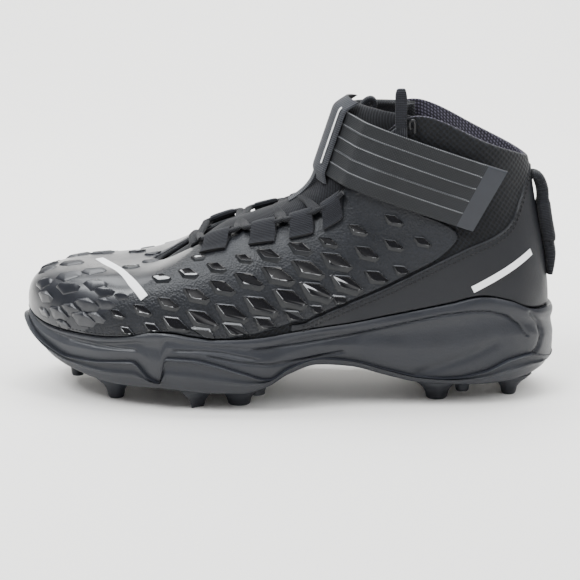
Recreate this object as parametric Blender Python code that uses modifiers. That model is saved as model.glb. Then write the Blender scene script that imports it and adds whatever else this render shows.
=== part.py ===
"""Left american football cleat, mid-high, with moulded studs and an ankle strap.

Metres, +Z up. The toe points along -X, the outer side of the foot faces -Y, and the studs stand on Z = 0.
Every main form is worked out from one loop of columns. A column starts on the sole's outline and climbs the
upper to the throat or the collar. The loop runs from the toe along the outer side to the heel, and back
along the inner side.
"""

import math

import bmesh
import bpy
import numpy as np
from mathutils import Vector

# Driving sizes of the shoe
LENGTH = 0.315
BALL_WIDTH = 0.1085
STUD_HEIGHT = 0.0100
SOLE_HEIGHT = 0.0550
DATUM_HEIGHT = 0.0200
UPPER_RISE = 0.1400

# Walls, layers and clearances
GAP = 0.0003
UPPER_WALL = 0.0022
COLLAR_PAD = 0.0060
SKIN = 0.0009
RIM_LIP = 0.0013
OVERLAY = 0.0012
RIM_WALL = 0.0030
PLATE = 0.0026
PLATE_SIDE = 0.0016
INSOLE = 0.0040
TONGUE = 0.0045
TONGUE_GAP = 0.0011
TONGUE_ROOT_GAP = 0.0014

# Strap, webbing and laces
STRAP_WIDTH = 0.0390
STRAP_THICKNESS = 0.0022
STRAP_MARGIN = 0.0020
COVER = 0.0014
WEBBING = 0.0010
LOOP_WIDTH = 0.0140
LOOP_BORE = 0.0054
LOOP_SEAT = 0.0040
LOOP_LENGTH = 0.0125
LACE = 0.0027
LACE_CLEARANCE = 0.0014
LACE_RUN = 0.0030
LACE_DROP = 0.0003
LACE_BOW = (-0.0060, 0.0, 0.0008)
LACE_STEPS = (0.20, 0.35, 0.50, 0.65, 0.80)
PULL_WIDTH = 0.0130
PULL_THICKNESS = 0.0076
SLEEVE_EXTRA = 0.0020

# Points nearer than this are one point
MERGE = 0.00005

# Mesh density: columns between two rows of the shape table, and rows up a column
COLUMN_STEPS = 2
UPPER_ROWS = 10

# The last, one row for each station from the toe to the heel. along is a share of LENGTH, outer and inner are
# shares of half of BALL_WIDTH, wall is a share of RIM_WALL, and the rest are shares of UPPER_RISE. bulge and
# lift place the handle over the sole, spread and drop the handle under the top line.
SHAPE_COLUMNS = (
    "along", "outer", "inner", "wall", "top_along", "top_outer", "top_inner", "top_rise",
    "bulge", "lift", "spread", "drop",
)
SHAPE = (
    (0.000, 0.160, 0.160, 0.77, 0.249, 0.073, 0.073, 0.334, 0.062, 0.298, 0.390, 0.036),
    (0.012, -0.109, 0.418, 0.77, 0.251, 0.009, 0.136, 0.336, 0.061, 0.294, 0.365, 0.036),
    (0.045, -0.373, 0.655, 0.80, 0.257, -0.064, 0.209, 0.342, 0.058, 0.282, 0.305, 0.036),
    (0.105, -0.618, 0.855, 0.87, 0.275, -0.145, 0.291, 0.360, 0.052, 0.268, 0.235, 0.038),
    (0.185, -0.818, 0.964, 0.93, 0.310, -0.227, 0.364, 0.404, 0.045, 0.275, 0.200, 0.040),
    (0.280, -0.955, 1.000, 1.00, 0.367, -0.282, 0.400, 0.466, 0.038, 0.285, 0.165, 0.044),
    (0.385, -1.000, 0.918, 1.07, 0.443, -0.327, 0.418, 0.518, 0.034, 0.290, 0.140, 0.050),
    (0.500, -0.936, 0.782, 1.07, 0.525, -0.364, 0.436, 0.575, 0.030, 0.300, 0.100, 0.075),
    (0.600, -0.836, 0.709, 1.07, 0.595, -0.418, 0.464, 0.679, 0.026, 0.320, 0.055, 0.160),
    (0.690, -0.773, 0.691, 1.07, 0.643, -0.473, 0.491, 0.836, 0.024, 0.350, 0.005, 0.250),
    (0.770, -0.745, 0.691, 1.13, 0.703, -0.555, 0.545, 0.975, 0.026, 0.370, -0.035, 0.300),
    (0.840, -0.727, 0.682, 1.27, 0.767, -0.600, 0.591, 0.972, 0.032, 0.350, -0.055, 0.300),
    (0.905, -0.655, 0.618, 1.47, 0.843, -0.555, 0.545, 0.889, 0.036, 0.320, -0.040, 0.290),
    (0.965, -0.436, 0.418, 1.67, 0.911, -0.309, 0.309, 0.825, 0.038, 0.290, -0.005, 0.270),
    (1.000, 0.000, 0.000, 1.80, 0.942, 0.000, 0.000, 0.793, 0.038, 0.250, 0.018, 0.250),
)
ROWS = len(SHAPE)
LOOP_ROWS = 2 * (ROWS - 1)

# Heights of the sole over the plate's underside, as shares of SOLE_HEIGHT: the rim round the upper, the top of
# the outsole's wrap, the side's lower edge and the plate along the middle.
SOLE_COLUMNS = ("along", "rim", "wrap", "edge", "plate")
SOLE = (
    (0.000, 0.700, 0.600, 0.440, 0.360),
    (0.020, 0.640, 0.500, 0.370, 0.300),
    (0.050, 0.605, 0.410, 0.265, 0.215),
    (0.090, 0.585, 0.330, 0.180, 0.130),
    (0.140, 0.575, 0.325, 0.110, 0.060),
    (0.180, 0.590, 0.345, 0.080, 0.025),
    (0.212, 0.625, 0.360, 0.075, 0.010),
    (0.245, 0.665, 0.190, 0.080, 0.000),
    (0.262, 0.672, 0.150, 0.078, 0.000),
    (0.274, 0.670, 0.425, 0.070, 0.000),
    (0.320, 0.635, 0.420, 0.045, 0.000),
    (0.365, 0.612, 0.365, 0.030, 0.000),
    (0.415, 0.615, 0.270, 0.030, 0.000),
    (0.460, 0.635, 0.195, 0.105, 0.045),
    (0.500, 0.670, 0.300, 0.250, 0.150),
    (0.550, 0.705, 0.385, 0.335, 0.240),
    (0.610, 0.740, 0.345, 0.295, 0.215),
    (0.680, 0.805, 0.220, 0.170, 0.110),
    (0.740, 0.865, 0.135, 0.080, 0.040),
    (0.800, 0.930, 0.140, 0.050, 0.010),
    (0.860, 0.995, 0.205, 0.050, 0.008),
    (0.910, 0.930, 0.320, 0.070, 0.015),
    (0.945, 0.830, 0.345, 0.095, 0.035),
    (0.970, 0.785, 0.290, 0.120, 0.055),
    (1.000, 0.760, 0.270, 0.160, 0.080),
)

# Height of the footbed over the plate's underside, as a share of SOLE_HEIGHT.
BED_COLUMNS = ("along", "bed")
BED = (
    (0.00, 0.540),
    (0.04, 0.470),
    (0.10, 0.375),
    (0.20, 0.295),
    (0.35, 0.275),
    (0.44, 0.340),
    (0.51, 0.460),
    (0.60, 0.490),
    (0.72, 0.470),
    (0.85, 0.450),
    (1.00, 0.450),
)

# The midsole's side over the outsole's wrap: share of the way from the wrap up to the rim, and how far it stands
# out beyond the outline as a share of RIM_WALL. Below the wrap the side falls in towards the ground.
SIDE = ((0.86, -0.05), (0.72, -0.35), (0.40, 0.15))
WRAP_OUT = 0.10
EDGE_IN = 0.95

# Rings of the underside: inset is a share of half of BALL_WIDTH, and lean is how far its height follows the edge.
UNDERSIDE = ((0.10, 0.55), (0.30, 0.12))
SPINE_ENDS = (0.115, 0.900)

# Lines on the side of the upper: along, and rise as a share of UPPER_RISE over the datum.
HEEL_OVERLAY_LINE = (
    (0.480, 0.090),
    (0.532, 0.166),
    (0.590, 0.219),
    (0.671, 0.290),
    (0.725, 0.347),
    (0.778, 0.405),
    (0.832, 0.461),
    (0.873, 0.497),
    (0.902, 0.541),
    (0.922, 0.630),
    (0.936, 0.730),
    (0.950, 0.800),
)
SKIN_BACK_LINE = (
    (0.600, 0.800),
    (0.690, 0.660),
    (0.745, 0.590),
    (0.790, 0.568),
    (0.812, 0.545),
    (0.825, 0.480),
)
SEAM_BAND = 0.030
OVERLAY_ENDS = 7.0
SKIN_ENDS = 11.0
SKIN_TOP = 0.985
SKIN_HEIGHT = 0.00045
OVERLAY_LEAST = 0.035
OVERLAY_TOP = 0.975

# The tongue's crest at rows of the shape table, as shares of LENGTH and of UPPER_RISE.
TONGUE_COLUMNS = ("row", "along", "rise")
TONGUE_SHAPE = (
    (2.00, 0.243, 0.306),
    (3.50, 0.285, 0.367),
    (5.00, 0.360, 0.463),
    (6.00, 0.435, 0.524),
    (7.00, 0.505, 0.585),
    (8.00, 0.547, 0.675),
    (9.00, 0.567, 0.800),
    (10.0, 0.600, 0.975),
    (10.5, 0.615, 1.030),
)
TONGUE_CENTRE = (0.070, 0.020)
TONGUE_TUCK = 0.08
TONGUE_FLAT = 0.35
TONGUE_ROWS = 13
TONGUE_ACROSS = (-1.25, -1.0, -0.84, -0.66, -0.44, -0.22, 0.0, 0.22, 0.44, 0.66, 0.84, 1.0, 1.25)

# The ankle strap: its slope, a point on the middle of its front, and the reach of its two ends along the slope as
# shares of LENGTH. Between its ends it lies taut over the tongue and the ankle.
STRAP_LEAN = math.radians(18.4)
STRAP_FRONT = (0.589, 0.857)
STRAP_OUTER_END = 0.298
STRAP_INNER_END = 0.235
STRAP_POINTS = 27
STRAP_CLEARANCE = 0.0008

# The cover on the tongue's front, which holds the strap: its half width and its reach below and above the strap.
COVER_HALF = 0.0150
COVER_BELOW = 0.0050
COVER_ABOVE = 0.0070
COVER_REACH = 0.0022
COVER_DEEPEST = 0.0200
COVER_STEP = 0.0010

# Webbing lace loops: the row of the shape table at which each pair stands.
LACE_LOOPS = (5.10, 6.15, 6.98, 7.74)
LOOP_FOLD = (
    (1.00, 0.00),
    (0.66, 0.00),
    (0.33, 0.00),
    (0.06, 0.02),
    (-0.16, 0.16),
    (-0.26, 0.50),
    (-0.16, 0.86),
    (0.08, 1.00),
    (0.45, 0.60),
    (0.75, 0.25),
    (1.00, 0.25),
)
LOOP_CLEARANCE = 0.0006

# Studs: along, side, height as a share of STUD_HEIGHT, top and foot radius, stretch along X, sides.
STUD_COLUMNS = ("along", "side", "height", "top", "foot", "stretch", "sides")
STUD_RADIUS = 0.0070
STUDS = (
    (0.088, 0.170, 0.70, 0.85, 0.55, 1.00, 10),
    (0.172, -0.430, 1.00, 1.05, 0.62, 1.10, 10),
    (0.165, 0.690, 1.00, 1.05, 0.62, 1.10, 10),
    (0.325, -0.750, 1.00, 1.30, 0.70, 1.00, 4),
    (0.305, 0.770, 1.00, 1.30, 0.70, 1.00, 4),
    (0.405, -0.660, 1.00, 1.15, 0.75, 1.25, 10),
    (0.395, 0.620, 1.00, 1.15, 0.75, 1.25, 10),
    (0.240, 0.130, 0.85, 1.00, 0.60, 1.00, 6),
    (0.345, 0.020, 0.85, 1.00, 0.60, 1.00, 6),
    (0.440, -0.640, 0.45, 0.75, 0.60, 1.00, 8),
    (0.776, -0.450, 1.00, 1.25, 0.78, 1.15, 10),
    (0.776, 0.430, 1.00, 1.25, 0.78, 1.15, 10),
    (0.824, -0.450, 0.55, 0.70, 0.55, 1.00, 8),
    (0.824, 0.430, 0.55, 0.70, 0.55, 1.00, 8),
    (0.915, -0.300, 1.00, 1.15, 0.62, 1.00, 10),
    (0.915, 0.290, 1.00, 1.15, 0.62, 1.00, 10),
)
STUD_SINK = 0.5

# The heel pull: along and rise of its middle line, and its thickness as a share of PULL_THICKNESS. From
# SLEEVE_PART upwards it is the sleeve that is moulded round it.
PULL_LINE = (
    (0.948, 0.706, 0.45),
    (0.958, 0.716, 0.62),
    (0.970, 0.700, 0.80),
    (0.978, 0.655, 0.84),
    (0.980, 0.606, 0.84),
    (0.980, 0.600, 1.00),
    (0.982, 0.520, 1.00),
    (0.983, 0.440, 1.00),
    (0.983, 0.434, 0.84),
    (0.983, 0.380, 0.84),
    (0.980, 0.330, 0.66),
    (0.972, 0.288, 0.45),
)
SLEEVE_PART = 0.95

# The small pulls of folded ribbon on the collar and on the tongue
RIBBON_WIDTH = 0.0070
RIBBON = 0.0014
COLLAR_PULL_ROW = 9.95
COLLAR_PULL_HEIGHT = 0.0190
COLLAR_PULL_FOOT = 0.0030
TONGUE_PULL_HEIGHT = 0.0060
RIBBON_CLEARANCE = 0.0009
TONGUE_PULL_CLEARANCE = 0.0012


def table(rows, names):
    """The rows as arrays, one for each named column."""
    return {name: np.array([row[i] for row in rows], float) for i, name in enumerate(names)}


def along_x(share):
    """World X of a share of the length, with the toe at 0 and the heel at 1."""
    return (share - 0.5) * LENGTH


def side_y(share):
    return share * BALL_WIDTH / 2


def rise_z(share):
    """World Z of a height on the upper."""
    return STUD_HEIGHT + DATUM_HEIGHT + share * UPPER_RISE


def smooth_table(where, xs, ys):
    """A smooth curve through a table that never overshoots it, after Fritsch and Carlson."""
    xs, ys, where = np.asarray(xs, float), np.asarray(ys, float), np.asarray(where, float)
    steps = np.diff(xs)
    slopes = np.diff(ys) / steps
    tangents = np.concatenate([[slopes[0]], np.zeros(len(xs) - 2), [slopes[-1]]])
    same = slopes[:-1] * slopes[1:] > 0
    left, right = slopes[:-1][same], slopes[1:][same]
    tangents[1:-1][same] = 2 * left * right / (left + right)
    i = np.clip(np.searchsorted(xs, where) - 1, 0, len(xs) - 2)
    t = np.clip((where - xs[i]) / steps[i], 0, 1)
    return (
        ys[i] * (1 + 2 * t) * (1 - t) ** 2
        + tangents[i] * steps[i] * t * (1 - t) ** 2
        + ys[i + 1] * t * t * (3 - 2 * t)
        + tangents[i + 1] * steps[i] * t * t * (t - 1)
    )


def closed_spline(values):
    """A function of the row number for a smooth closed curve through the values."""
    values = np.asarray(values, float)
    n = len(values)
    system = np.zeros((n, n))
    for i in range(n):
        system[i, i] = 4 / 6
        system[i, (i + 1) % n] += 1 / 6
        system[i, (i - 1) % n] += 1 / 6
    control = np.linalg.solve(system, values)

    def at(u):
        u = np.asarray(u, float)
        i = np.floor(u).astype(int)
        t = u - i
        weights = (
            (1 - t) ** 3 / 6,
            (3 * t**3 - 6 * t * t + 4) / 6,
            (-3 * t**3 + 3 * t * t + 3 * t + 1) / 6,
            t**3 / 6,
        )
        return sum(w * control[(i + k - 1) % n] for k, w in enumerate(weights))

    return at


def loop_splines():
    """One closed curve for each column of the shape table, from the toe round the outer side."""
    shape = table(SHAPE, SHAPE_COLUMNS)
    back = slice(ROWS - 2, 0, -1)
    splines = {}
    for name in ("along", "wall", "top_along", "top_rise", "bulge", "lift", "spread", "drop"):
        splines[name] = closed_spline(np.concatenate([shape[name], shape[name][back]]))
    for name, outer, inner in (("side", "outer", "inner"), ("top_side", "top_outer", "top_inner")):
        splines[name] = closed_spline(np.concatenate([shape[outer], shape[inner][back]]))
    return splines


SPLINES = loop_splines()
SOLE_TABLE = table(SOLE, SOLE_COLUMNS)
BED_TABLE = table(BED, BED_COLUMNS)


def sole_z(name, x):
    """Height of a line of the sole at world X."""
    share = np.clip(np.asarray(x) / LENGTH + 0.5, 0, 1)
    source = BED_TABLE if name == "bed" else SOLE_TABLE
    return STUD_HEIGHT + SOLE_HEIGHT * smooth_table(share, source["along"], source[name])


def outline(u):
    """Points of the sole's outline in plan, as arrays x and y."""
    return along_x(SPLINES["along"](u)), side_y(SPLINES["side"](u))


def outward(u):
    """Unit directions in plan that point away from the shoe, square to the outline."""
    step = 0.02
    x0, y0 = outline(np.asarray(u) - step)
    x1, y1 = outline(np.asarray(u) + step)
    size = np.hypot(x1 - x0, y1 - y0)
    return np.stack([(y1 - y0) / size, -(x1 - x0) / size], -1)


def inset_outline(u, inset):
    """The outline moved inwards, as an array of x and y."""
    x, y = outline(u)
    return np.stack([x, y], -1) - outward(u) * np.asarray(inset)[..., None]


def rim_inset(u):
    return SPLINES["wall"](u) * RIM_WALL


def upper_surface(u, v):
    """The upper's outer face. u is the row of the loop, and v climbs from the footbed at 0 to the top line at 1."""
    u, v = np.broadcast_arrays(np.asarray(u, float), np.asarray(v, float))
    base = inset_outline(u, rim_inset(u) + GAP)
    out = outward(u)
    foot = np.stack([base[..., 0], base[..., 1], sole_z("bed", base[..., 0]) + GAP], -1)
    top = np.stack(
        [
            along_x(SPLINES["top_along"](u)),
            side_y(SPLINES["top_side"](u)),
            rise_z(SPLINES["top_rise"](u)),
        ],
        -1,
    )
    sizes = {name: SPLINES[name](u) * UPPER_RISE for name in ("bulge", "lift", "spread", "drop")}
    low = foot.copy()
    low[..., :2] += out * sizes["bulge"][..., None]
    low[..., 2] += sizes["lift"]
    high = top.copy()
    high[..., :2] += out * sizes["spread"][..., None]
    high[..., 2] -= sizes["drop"]
    v = v[..., None]
    return (1 - v) ** 3 * foot + 3 * v * (1 - v) ** 2 * low + 3 * v * v * (1 - v) * high + v**3 * top


def upper_normal(u, v):
    """Unit normals that point out of the upper."""
    u, v = np.broadcast_arrays(np.asarray(u, float), np.asarray(v, float))
    step = 0.01
    low, high = np.clip(v - step, 0, 1), np.clip(v + step, 0, 1)
    round_about = upper_surface(u + step, v) - upper_surface(u - step, v)
    climb = upper_surface(u, high) - upper_surface(u, low)
    normal = np.cross(round_about, climb)
    return normal / np.linalg.norm(normal, axis=-1, keepdims=True)


def on_upper(u, v, height):
    """Points at a height over the upper's outer face. A negative height lies inside."""
    return upper_surface(u, v) + upper_normal(u, v) * np.asarray(height)[..., None]


def crossing(u, height_at):
    """For each column, the v at which it first climbs over a line. height_at gives the line's Z from X."""
    climb = np.linspace(0, 1, 201)
    found = []
    for one in np.atleast_1d(u):
        points = upper_surface(np.full_like(climb, one), climb)
        over = points[:, 2] - height_at(points[:, 0])
        above = np.nonzero(over > 0)[0]
        if not len(above):
            found.append(1.0)
            continue
        i = max(above[0], 1)
        span = over[i] - over[i - 1]
        part = -over[i - 1] / span if span > 0 else 0
        found.append(climb[i - 1] + (climb[i] - climb[i - 1]) * part)
    return np.clip(np.array(found), 0, 1)


def crossing_heights(u, heights):
    """For each column, the v at which it reaches its own height."""
    return np.concatenate([crossing(one, lambda _, level=z: level) for one, z in zip(u, heights)])


def rim_v(u):
    """For each column, the v at which the upper leaves the midsole's rim."""
    x, _ = outline(u)
    return crossing_heights(u, sole_z("rim", x))


def upper_rows(u):
    """The v of each row of the upper: the footbed, half way to the rim, the rim, and even steps to the top line."""
    rim = rim_v(u)[:, None]
    return np.hstack([rim * 0, rim / 2, rim + (1 - rim) * np.linspace(0, 1, UPPER_ROWS - 2)])


def rows_between(u, low, high):
    """The upper's own rows between two lines. A row that nearly meets a line is drawn onto it."""
    rows = upper_rows(u)
    near = 0.18 * (rows[:, -1] - rows[:, -2])[:, None]
    low, high = low[:, None], high[:, None]
    rows = np.clip(rows, low, high)
    rows = np.where(rows < low + near, low, rows)
    return np.where(rows > high - near, high, rows)


def side_line(rows):
    """Height over X of a line that is drawn on the side of the upper."""
    rows = np.array(rows)

    def height_at(x):
        return rise_z(smooth_table(np.clip(x / LENGTH + 0.5, rows[0, 0], rows[-1, 0]), rows[:, 0], rows[:, 1]))

    return height_at


def material(name, colour, roughness, metallic=0.0):
    made = bpy.data.materials.new(name)
    made.use_nodes = True
    shader = made.node_tree.nodes["Principled BSDF"]
    shader.inputs["Base Color"].default_value = (*colour, 1.0)
    shader.inputs["Roughness"].default_value = roughness
    shader.inputs["Metallic"].default_value = metallic
    return made


def clear_scene():
    for obj in list(bpy.data.objects):
        bpy.data.objects.remove(obj)


def add_object(name, mesh, finish, collection):
    obj = bpy.data.objects.new(name, mesh)
    obj.data.materials.append(finish)
    collection.objects.link(obj)
    for polygon in mesh.polygons:
        polygon.use_smooth = True
    mesh.set_sharp_from_angle(angle=math.radians(40))
    return obj


def sheet_faces(mesh, columns, closed):
    """Triangles between neighbouring columns of points, with all diagonals the same way. Doubles are skipped."""
    verts = []
    for column in columns:
        made = []
        for point in column:
            point = Vector(point)
            if made and (made[-1].co - point).length < MERGE:
                made.append(made[-1])
            else:
                made.append(mesh.verts.new(point))
        verts.append(made)
    for i in range(len(verts) if closed else len(verts) - 1):
        here, following = verts[i], verts[(i + 1) % len(verts)]
        for j in range(len(here) - 1):
            for corners in ((here[j], following[j], following[j + 1]), (here[j], following[j + 1], here[j + 1])):
                if len(set(corners)) == 3:
                    mesh.faces.new(corners)


def finished_mesh(name, mesh):
    made = bpy.data.meshes.new(name)
    mesh.to_mesh(made)
    mesh.free()
    return made


def grid_mesh(name, grid, closed=False):
    """A sheet through a grid of points. The first index runs round, the second climbs."""
    mesh = bmesh.new()
    sheet_faces(mesh, grid, closed)
    return finished_mesh(name, mesh)


def spine_solid(name, profiles):
    """A solid from one profile for each column. Each profile starts and ends on the spine."""
    mesh = bmesh.new()
    sheet_faces(mesh, profiles, True)
    bmesh.ops.remove_doubles(mesh, verts=mesh.verts, dist=MERGE)
    bmesh.ops.recalc_face_normals(mesh, faces=mesh.faces)
    return finished_mesh(name, mesh)


def thicken(obj, thickness, outwards=True, group=None, least=1.0):
    """Gives a sheet its thickness, on the side that its normals point to or behind it."""
    solid = obj.modifiers.new("wall", "SOLIDIFY")
    solid.thickness = thickness
    solid.offset = 1.0 if outwards else -1.0
    solid.use_rim = True
    if group:
        solid.vertex_group = group
        solid.thickness_vertex_group = least
    return obj


def apply_modifiers(obj):
    """Replaces the object's mesh by the one that its modifiers make."""
    graph = bpy.context.evaluated_depsgraph_get()
    made = bpy.data.meshes.new_from_object(obj.evaluated_get(graph))
    obj.modifiers.clear()
    obj.data = made
    return obj


def loop_columns():
    return np.arange(LOOP_ROWS * COLUMN_STEPS) / COLUMN_STEPS


def spine_points(u):
    """Where each column meets the line along the middle of the sole, in plan."""
    x, y = outline(u)
    _, opposite = outline(-np.asarray(u))
    low, high = along_x(SPINE_ENDS[0]), along_x(SPINE_ENDS[1])
    clipped = np.clip(x, low, high)
    middle = (y + opposite) / 2
    ends = [np.interp(end, x[: len(x) // 2 + 1], middle[: len(x) // 2 + 1]) for end in (low, high)]
    middle = np.where(x < low, ends[0], np.where(x > high, ends[1], middle))
    return np.stack([clipped, middle], -1)


def underside_rings(u, sink):
    """Rings of the midsole's underside from the edge to the spine, moved down by sink."""
    x, y = outline(u)
    edge = sole_z("edge", x)
    rings = []
    for inset, lean in UNDERSIDE:
        plan = inset_outline(u, np.full(len(u), inset * BALL_WIDTH / 2))
        plate = sole_z("plate", plan[:, 0])
        rings.append(np.column_stack([plan, plate + lean * (edge - plate) + PLATE + GAP - sink]))
    plan = spine_points(u)
    rings.append(np.column_stack([plan, sole_z("plate", plan[:, 0]) + PLATE + GAP - sink]))
    return rings


def wrap_share(u):
    """How far up the side the outsole's wrap reaches, as a share of the side's height."""
    x, _ = outline(u)
    low = sole_z("edge", x) + PLATE + GAP
    return np.clip((sole_z("wrap", x) - low) / (sole_z("rim", x) - low), 0.04, 0.90)


def side_ring(u, share, out):
    """Points of the sole's side at a share of its height, moved out from the outline."""
    x, y = outline(u)
    low = sole_z("edge", x) + PLATE + GAP
    plan = np.stack([x, y], -1) + outward(u) * np.broadcast_to(out, x.shape)[:, None]
    return np.column_stack([plan, low + share * (sole_z("rim", x) - low)])


def wrapped_rings(u, extra):
    """The part of the side that the outsole wraps, from the wrap's top to the lower edge."""
    reach = wrap_share(u)
    outs = (WRAP_OUT, WRAP_OUT * 0.5, -EDGE_IN)
    return [side_ring(u, reach * part, out * RIM_WALL + extra) for part, out in zip((1.0, 0.45, 0.0), outs)]


def build_midsole(collection, finish):
    """The foam midsole: a cup whose rim holds the upper's lower edge."""
    u = loop_columns()
    reach = wrap_share(u)
    x, _ = outline(u)
    rows = upper_rows(u)
    cup = [on_upper(u, rows[:, j], np.full(len(u), GAP)) for j in range(3)]
    cup[0][:, 2] = sole_z("bed", cup[0][:, 0])
    cup[2][:, 2] = sole_z("rim", x)
    spine = spine_points(u)
    half = (cup[0][:, :2] + spine) / 2
    bed = [np.column_stack([plan, sole_z("bed", plan[:, 0])]) for plan in (spine, half)]
    lip = cup[2].copy()
    lip[:, :2] += outward(u) * RIM_LIP
    rise = [reach + (1 - reach) * part for part, _ in SIDE]
    fade = np.clip((0.75 - reach) / 0.3, 0, 1)
    sides = [side_ring(u, share, out * RIM_WALL * (fade if out < 0 else 1)) for share, (_, out) in zip(rise, SIDE)]
    profile = [*bed, *cup, lip, *sides, *wrapped_rings(u, 0.0), *underside_rings(u, 0.0)]
    return add_object("midsole", spine_solid("midsole", np.stack(profile, 1)), finish, collection)


def build_outsole(collection, finish):
    """The moulded outsole: a plate under the midsole that wraps up its side, with its studs in one piece."""
    u = loop_columns()
    outer = wrapped_rings(u, GAP + PLATE_SIDE)
    inner = wrapped_rings(u, GAP)
    outer[-1][:, 2] -= PLATE * 0.6
    inner[-1][:, 2] -= GAP
    profile = [*underside_rings(u, PLATE + GAP)[::-1], *outer[::-1], *inner, *underside_rings(u, GAP)]
    plate = add_object("outsole", spine_solid("outsole", np.stack(profile, 1)), finish, collection)
    studs = join_studs()
    join = plate.modifiers.new("studs", "BOOLEAN")
    join.operation = "UNION"
    join.solver = "EXACT"
    join.use_self = True
    join.object = studs
    apply_modifiers(plate)
    bpy.data.objects.remove(studs)
    return plate


def underside_z(x, y):
    """Height of the plate's underside at a point in plan."""
    u = np.arange(0, LOOP_ROWS, 0.25)
    edge_x, edge_y = outline(u)
    side = edge_y > 0 if y > 0 else edge_y <= 0
    order = np.argsort(edge_x[side])
    inset = abs(np.interp(x, edge_x[side][order], edge_y[side][order]) - y) / (BALL_WIDTH / 2)
    insets, leans = zip(*UNDERSIDE)
    lean = np.interp(inset, (0, *insets, 1), (1, *leans, 0))
    plate = float(sole_z("plate", x))
    return plate + lean * (float(sole_z("edge", x)) - plate)


def add_stud(mesh, stud):
    """One tapered stud from the ground up into the plate."""
    x, y = along_x(stud["along"]), side_y(stud["side"])
    sides = int(stud["sides"])
    low, high = [], []
    for k in range(sides):
        turn = 2 * math.pi * (k + 0.5) / sides
        ahead, out = math.cos(turn) * stud["stretch"] * STUD_RADIUS, math.sin(turn) * STUD_RADIUS
        low.append((x + ahead * stud["foot"], y + out * stud["foot"], STUD_HEIGHT * (1 - stud["height"])))
        top_x, top_y = x + ahead * stud["top"], y + out * stud["top"]
        high.append((top_x, top_y, underside_z(top_x, top_y) + PLATE * STUD_SINK))
    low = [mesh.verts.new(point) for point in low]
    high = [mesh.verts.new(point) for point in high]
    crown = mesh.verts.new((x, y, underside_z(x, y) + PLATE * STUD_SINK))
    mesh.faces.new(low[::-1])
    for k in range(sides):
        following = (k + 1) % sides
        mesh.faces.new((low[k], low[following], high[following], high[k]))
        mesh.faces.new((high[k], high[following], crown))


def join_studs():
    """All studs as one helper mesh that the outsole's plate takes in."""
    mesh = bmesh.new()
    for row in STUDS:
        add_stud(mesh, dict(zip(STUD_COLUMNS, row)))
    obj = bpy.data.objects.new("studs", finished_mesh("studs", mesh))
    bpy.context.scene.collection.objects.link(obj)
    obj.hide_render = True
    obj.display_type = "WIRE"
    return obj


def build_upper(collection, finish):
    """The hollow upper, open underneath, at the throat and at the collar, thicker where the collar is padded."""
    u = loop_columns()
    rows = upper_rows(u)
    grid = upper_surface(u[:, None], rows)
    obj = add_object("upper", grid_mesh("upper", grid, closed=True), finish, collection)
    pads = obj.vertex_groups.new(name="collar")
    station = np.minimum(u, LOOP_ROWS - u)
    back = np.clip((station - 10.4) / 1.2, 0, 1)
    for i in range(len(u)):
        for j, v in enumerate(rows[i]):
            climb = np.clip((v - 0.55) / 0.2, 0, 1) * np.clip((1.0 - v) / 0.08 + 0.35, 0, 1)
            pads.add([i * rows.shape[1] + j], float(back[i] * climb), "REPLACE")
    return thicken(obj, COLLAR_PAD, outwards=False, group="collar", least=UPPER_WALL / COLLAR_PAD)


def patch(name, u, low, high, height, thickness, finish, collection):
    """A layer over part of the upper, between two lines up each column."""
    v = rows_between(u, low, high)
    grid = on_upper(np.repeat(u[:, None], v.shape[1], 1), v, np.broadcast_to(height, v.T.shape).T)
    return thicken(add_object(name, grid_mesh(name, grid), finish, collection), thickness)


def overlay_top(u):
    """The v of the heel overlay's upper edge."""
    high = np.minimum(OVERLAY_TOP, crossing(u, side_line(HEEL_OVERLAY_LINE)))
    return np.maximum(high, above_rim(u) + OVERLAY_LEAST)


def above_rim(u):
    """For each column, the v of the lowest edge of a layer that clears the midsole's rim."""
    x, _ = outline(u)
    return crossing_heights(u, sole_z("rim", x) + 2.5 * GAP)


def build_skin(collection, finish):
    """The moulded skin over the toe and the vamp, with a rounded lobe at the ankle on each side."""
    u = np.arange(-SKIN_ENDS * COLUMN_STEPS, SKIN_ENDS * COLUMN_STEPS + 0.5) / COLUMN_STEPS
    station = np.abs(u)
    low = np.where(station > OVERLAY_ENDS - 0.3, overlay_top(u) + SEAM_BAND, above_rim(u))
    high = np.where(station > 8.6, np.minimum(SKIN_TOP, crossing(u, side_line(SKIN_BACK_LINE))), SKIN_TOP)
    end = np.clip((SKIN_ENDS - station) / 1.0, 0, 1)
    middle, half = (low + high) / 2, (high - low) / 2
    half = np.maximum(half * np.sqrt(1 - (1 - end) ** 2), 0.045)
    height = SKIN_HEIGHT * (1 + np.clip(station - 8, 0, 1))
    return patch("vamp_skin", u, middle - half, middle + half, height, SKIN, finish, collection)


def build_heel_overlay(collection, finish):
    """The smooth panel that wraps the heel, from the shank on the outer side round to the inner side."""
    u = np.arange(OVERLAY_ENDS * COLUMN_STEPS, (LOOP_ROWS - OVERLAY_ENDS) * COLUMN_STEPS + 0.5) / COLUMN_STEPS
    return patch("heel_overlay", u, above_rim(u), overlay_top(u), GAP, OVERLAY, finish, collection)


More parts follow.
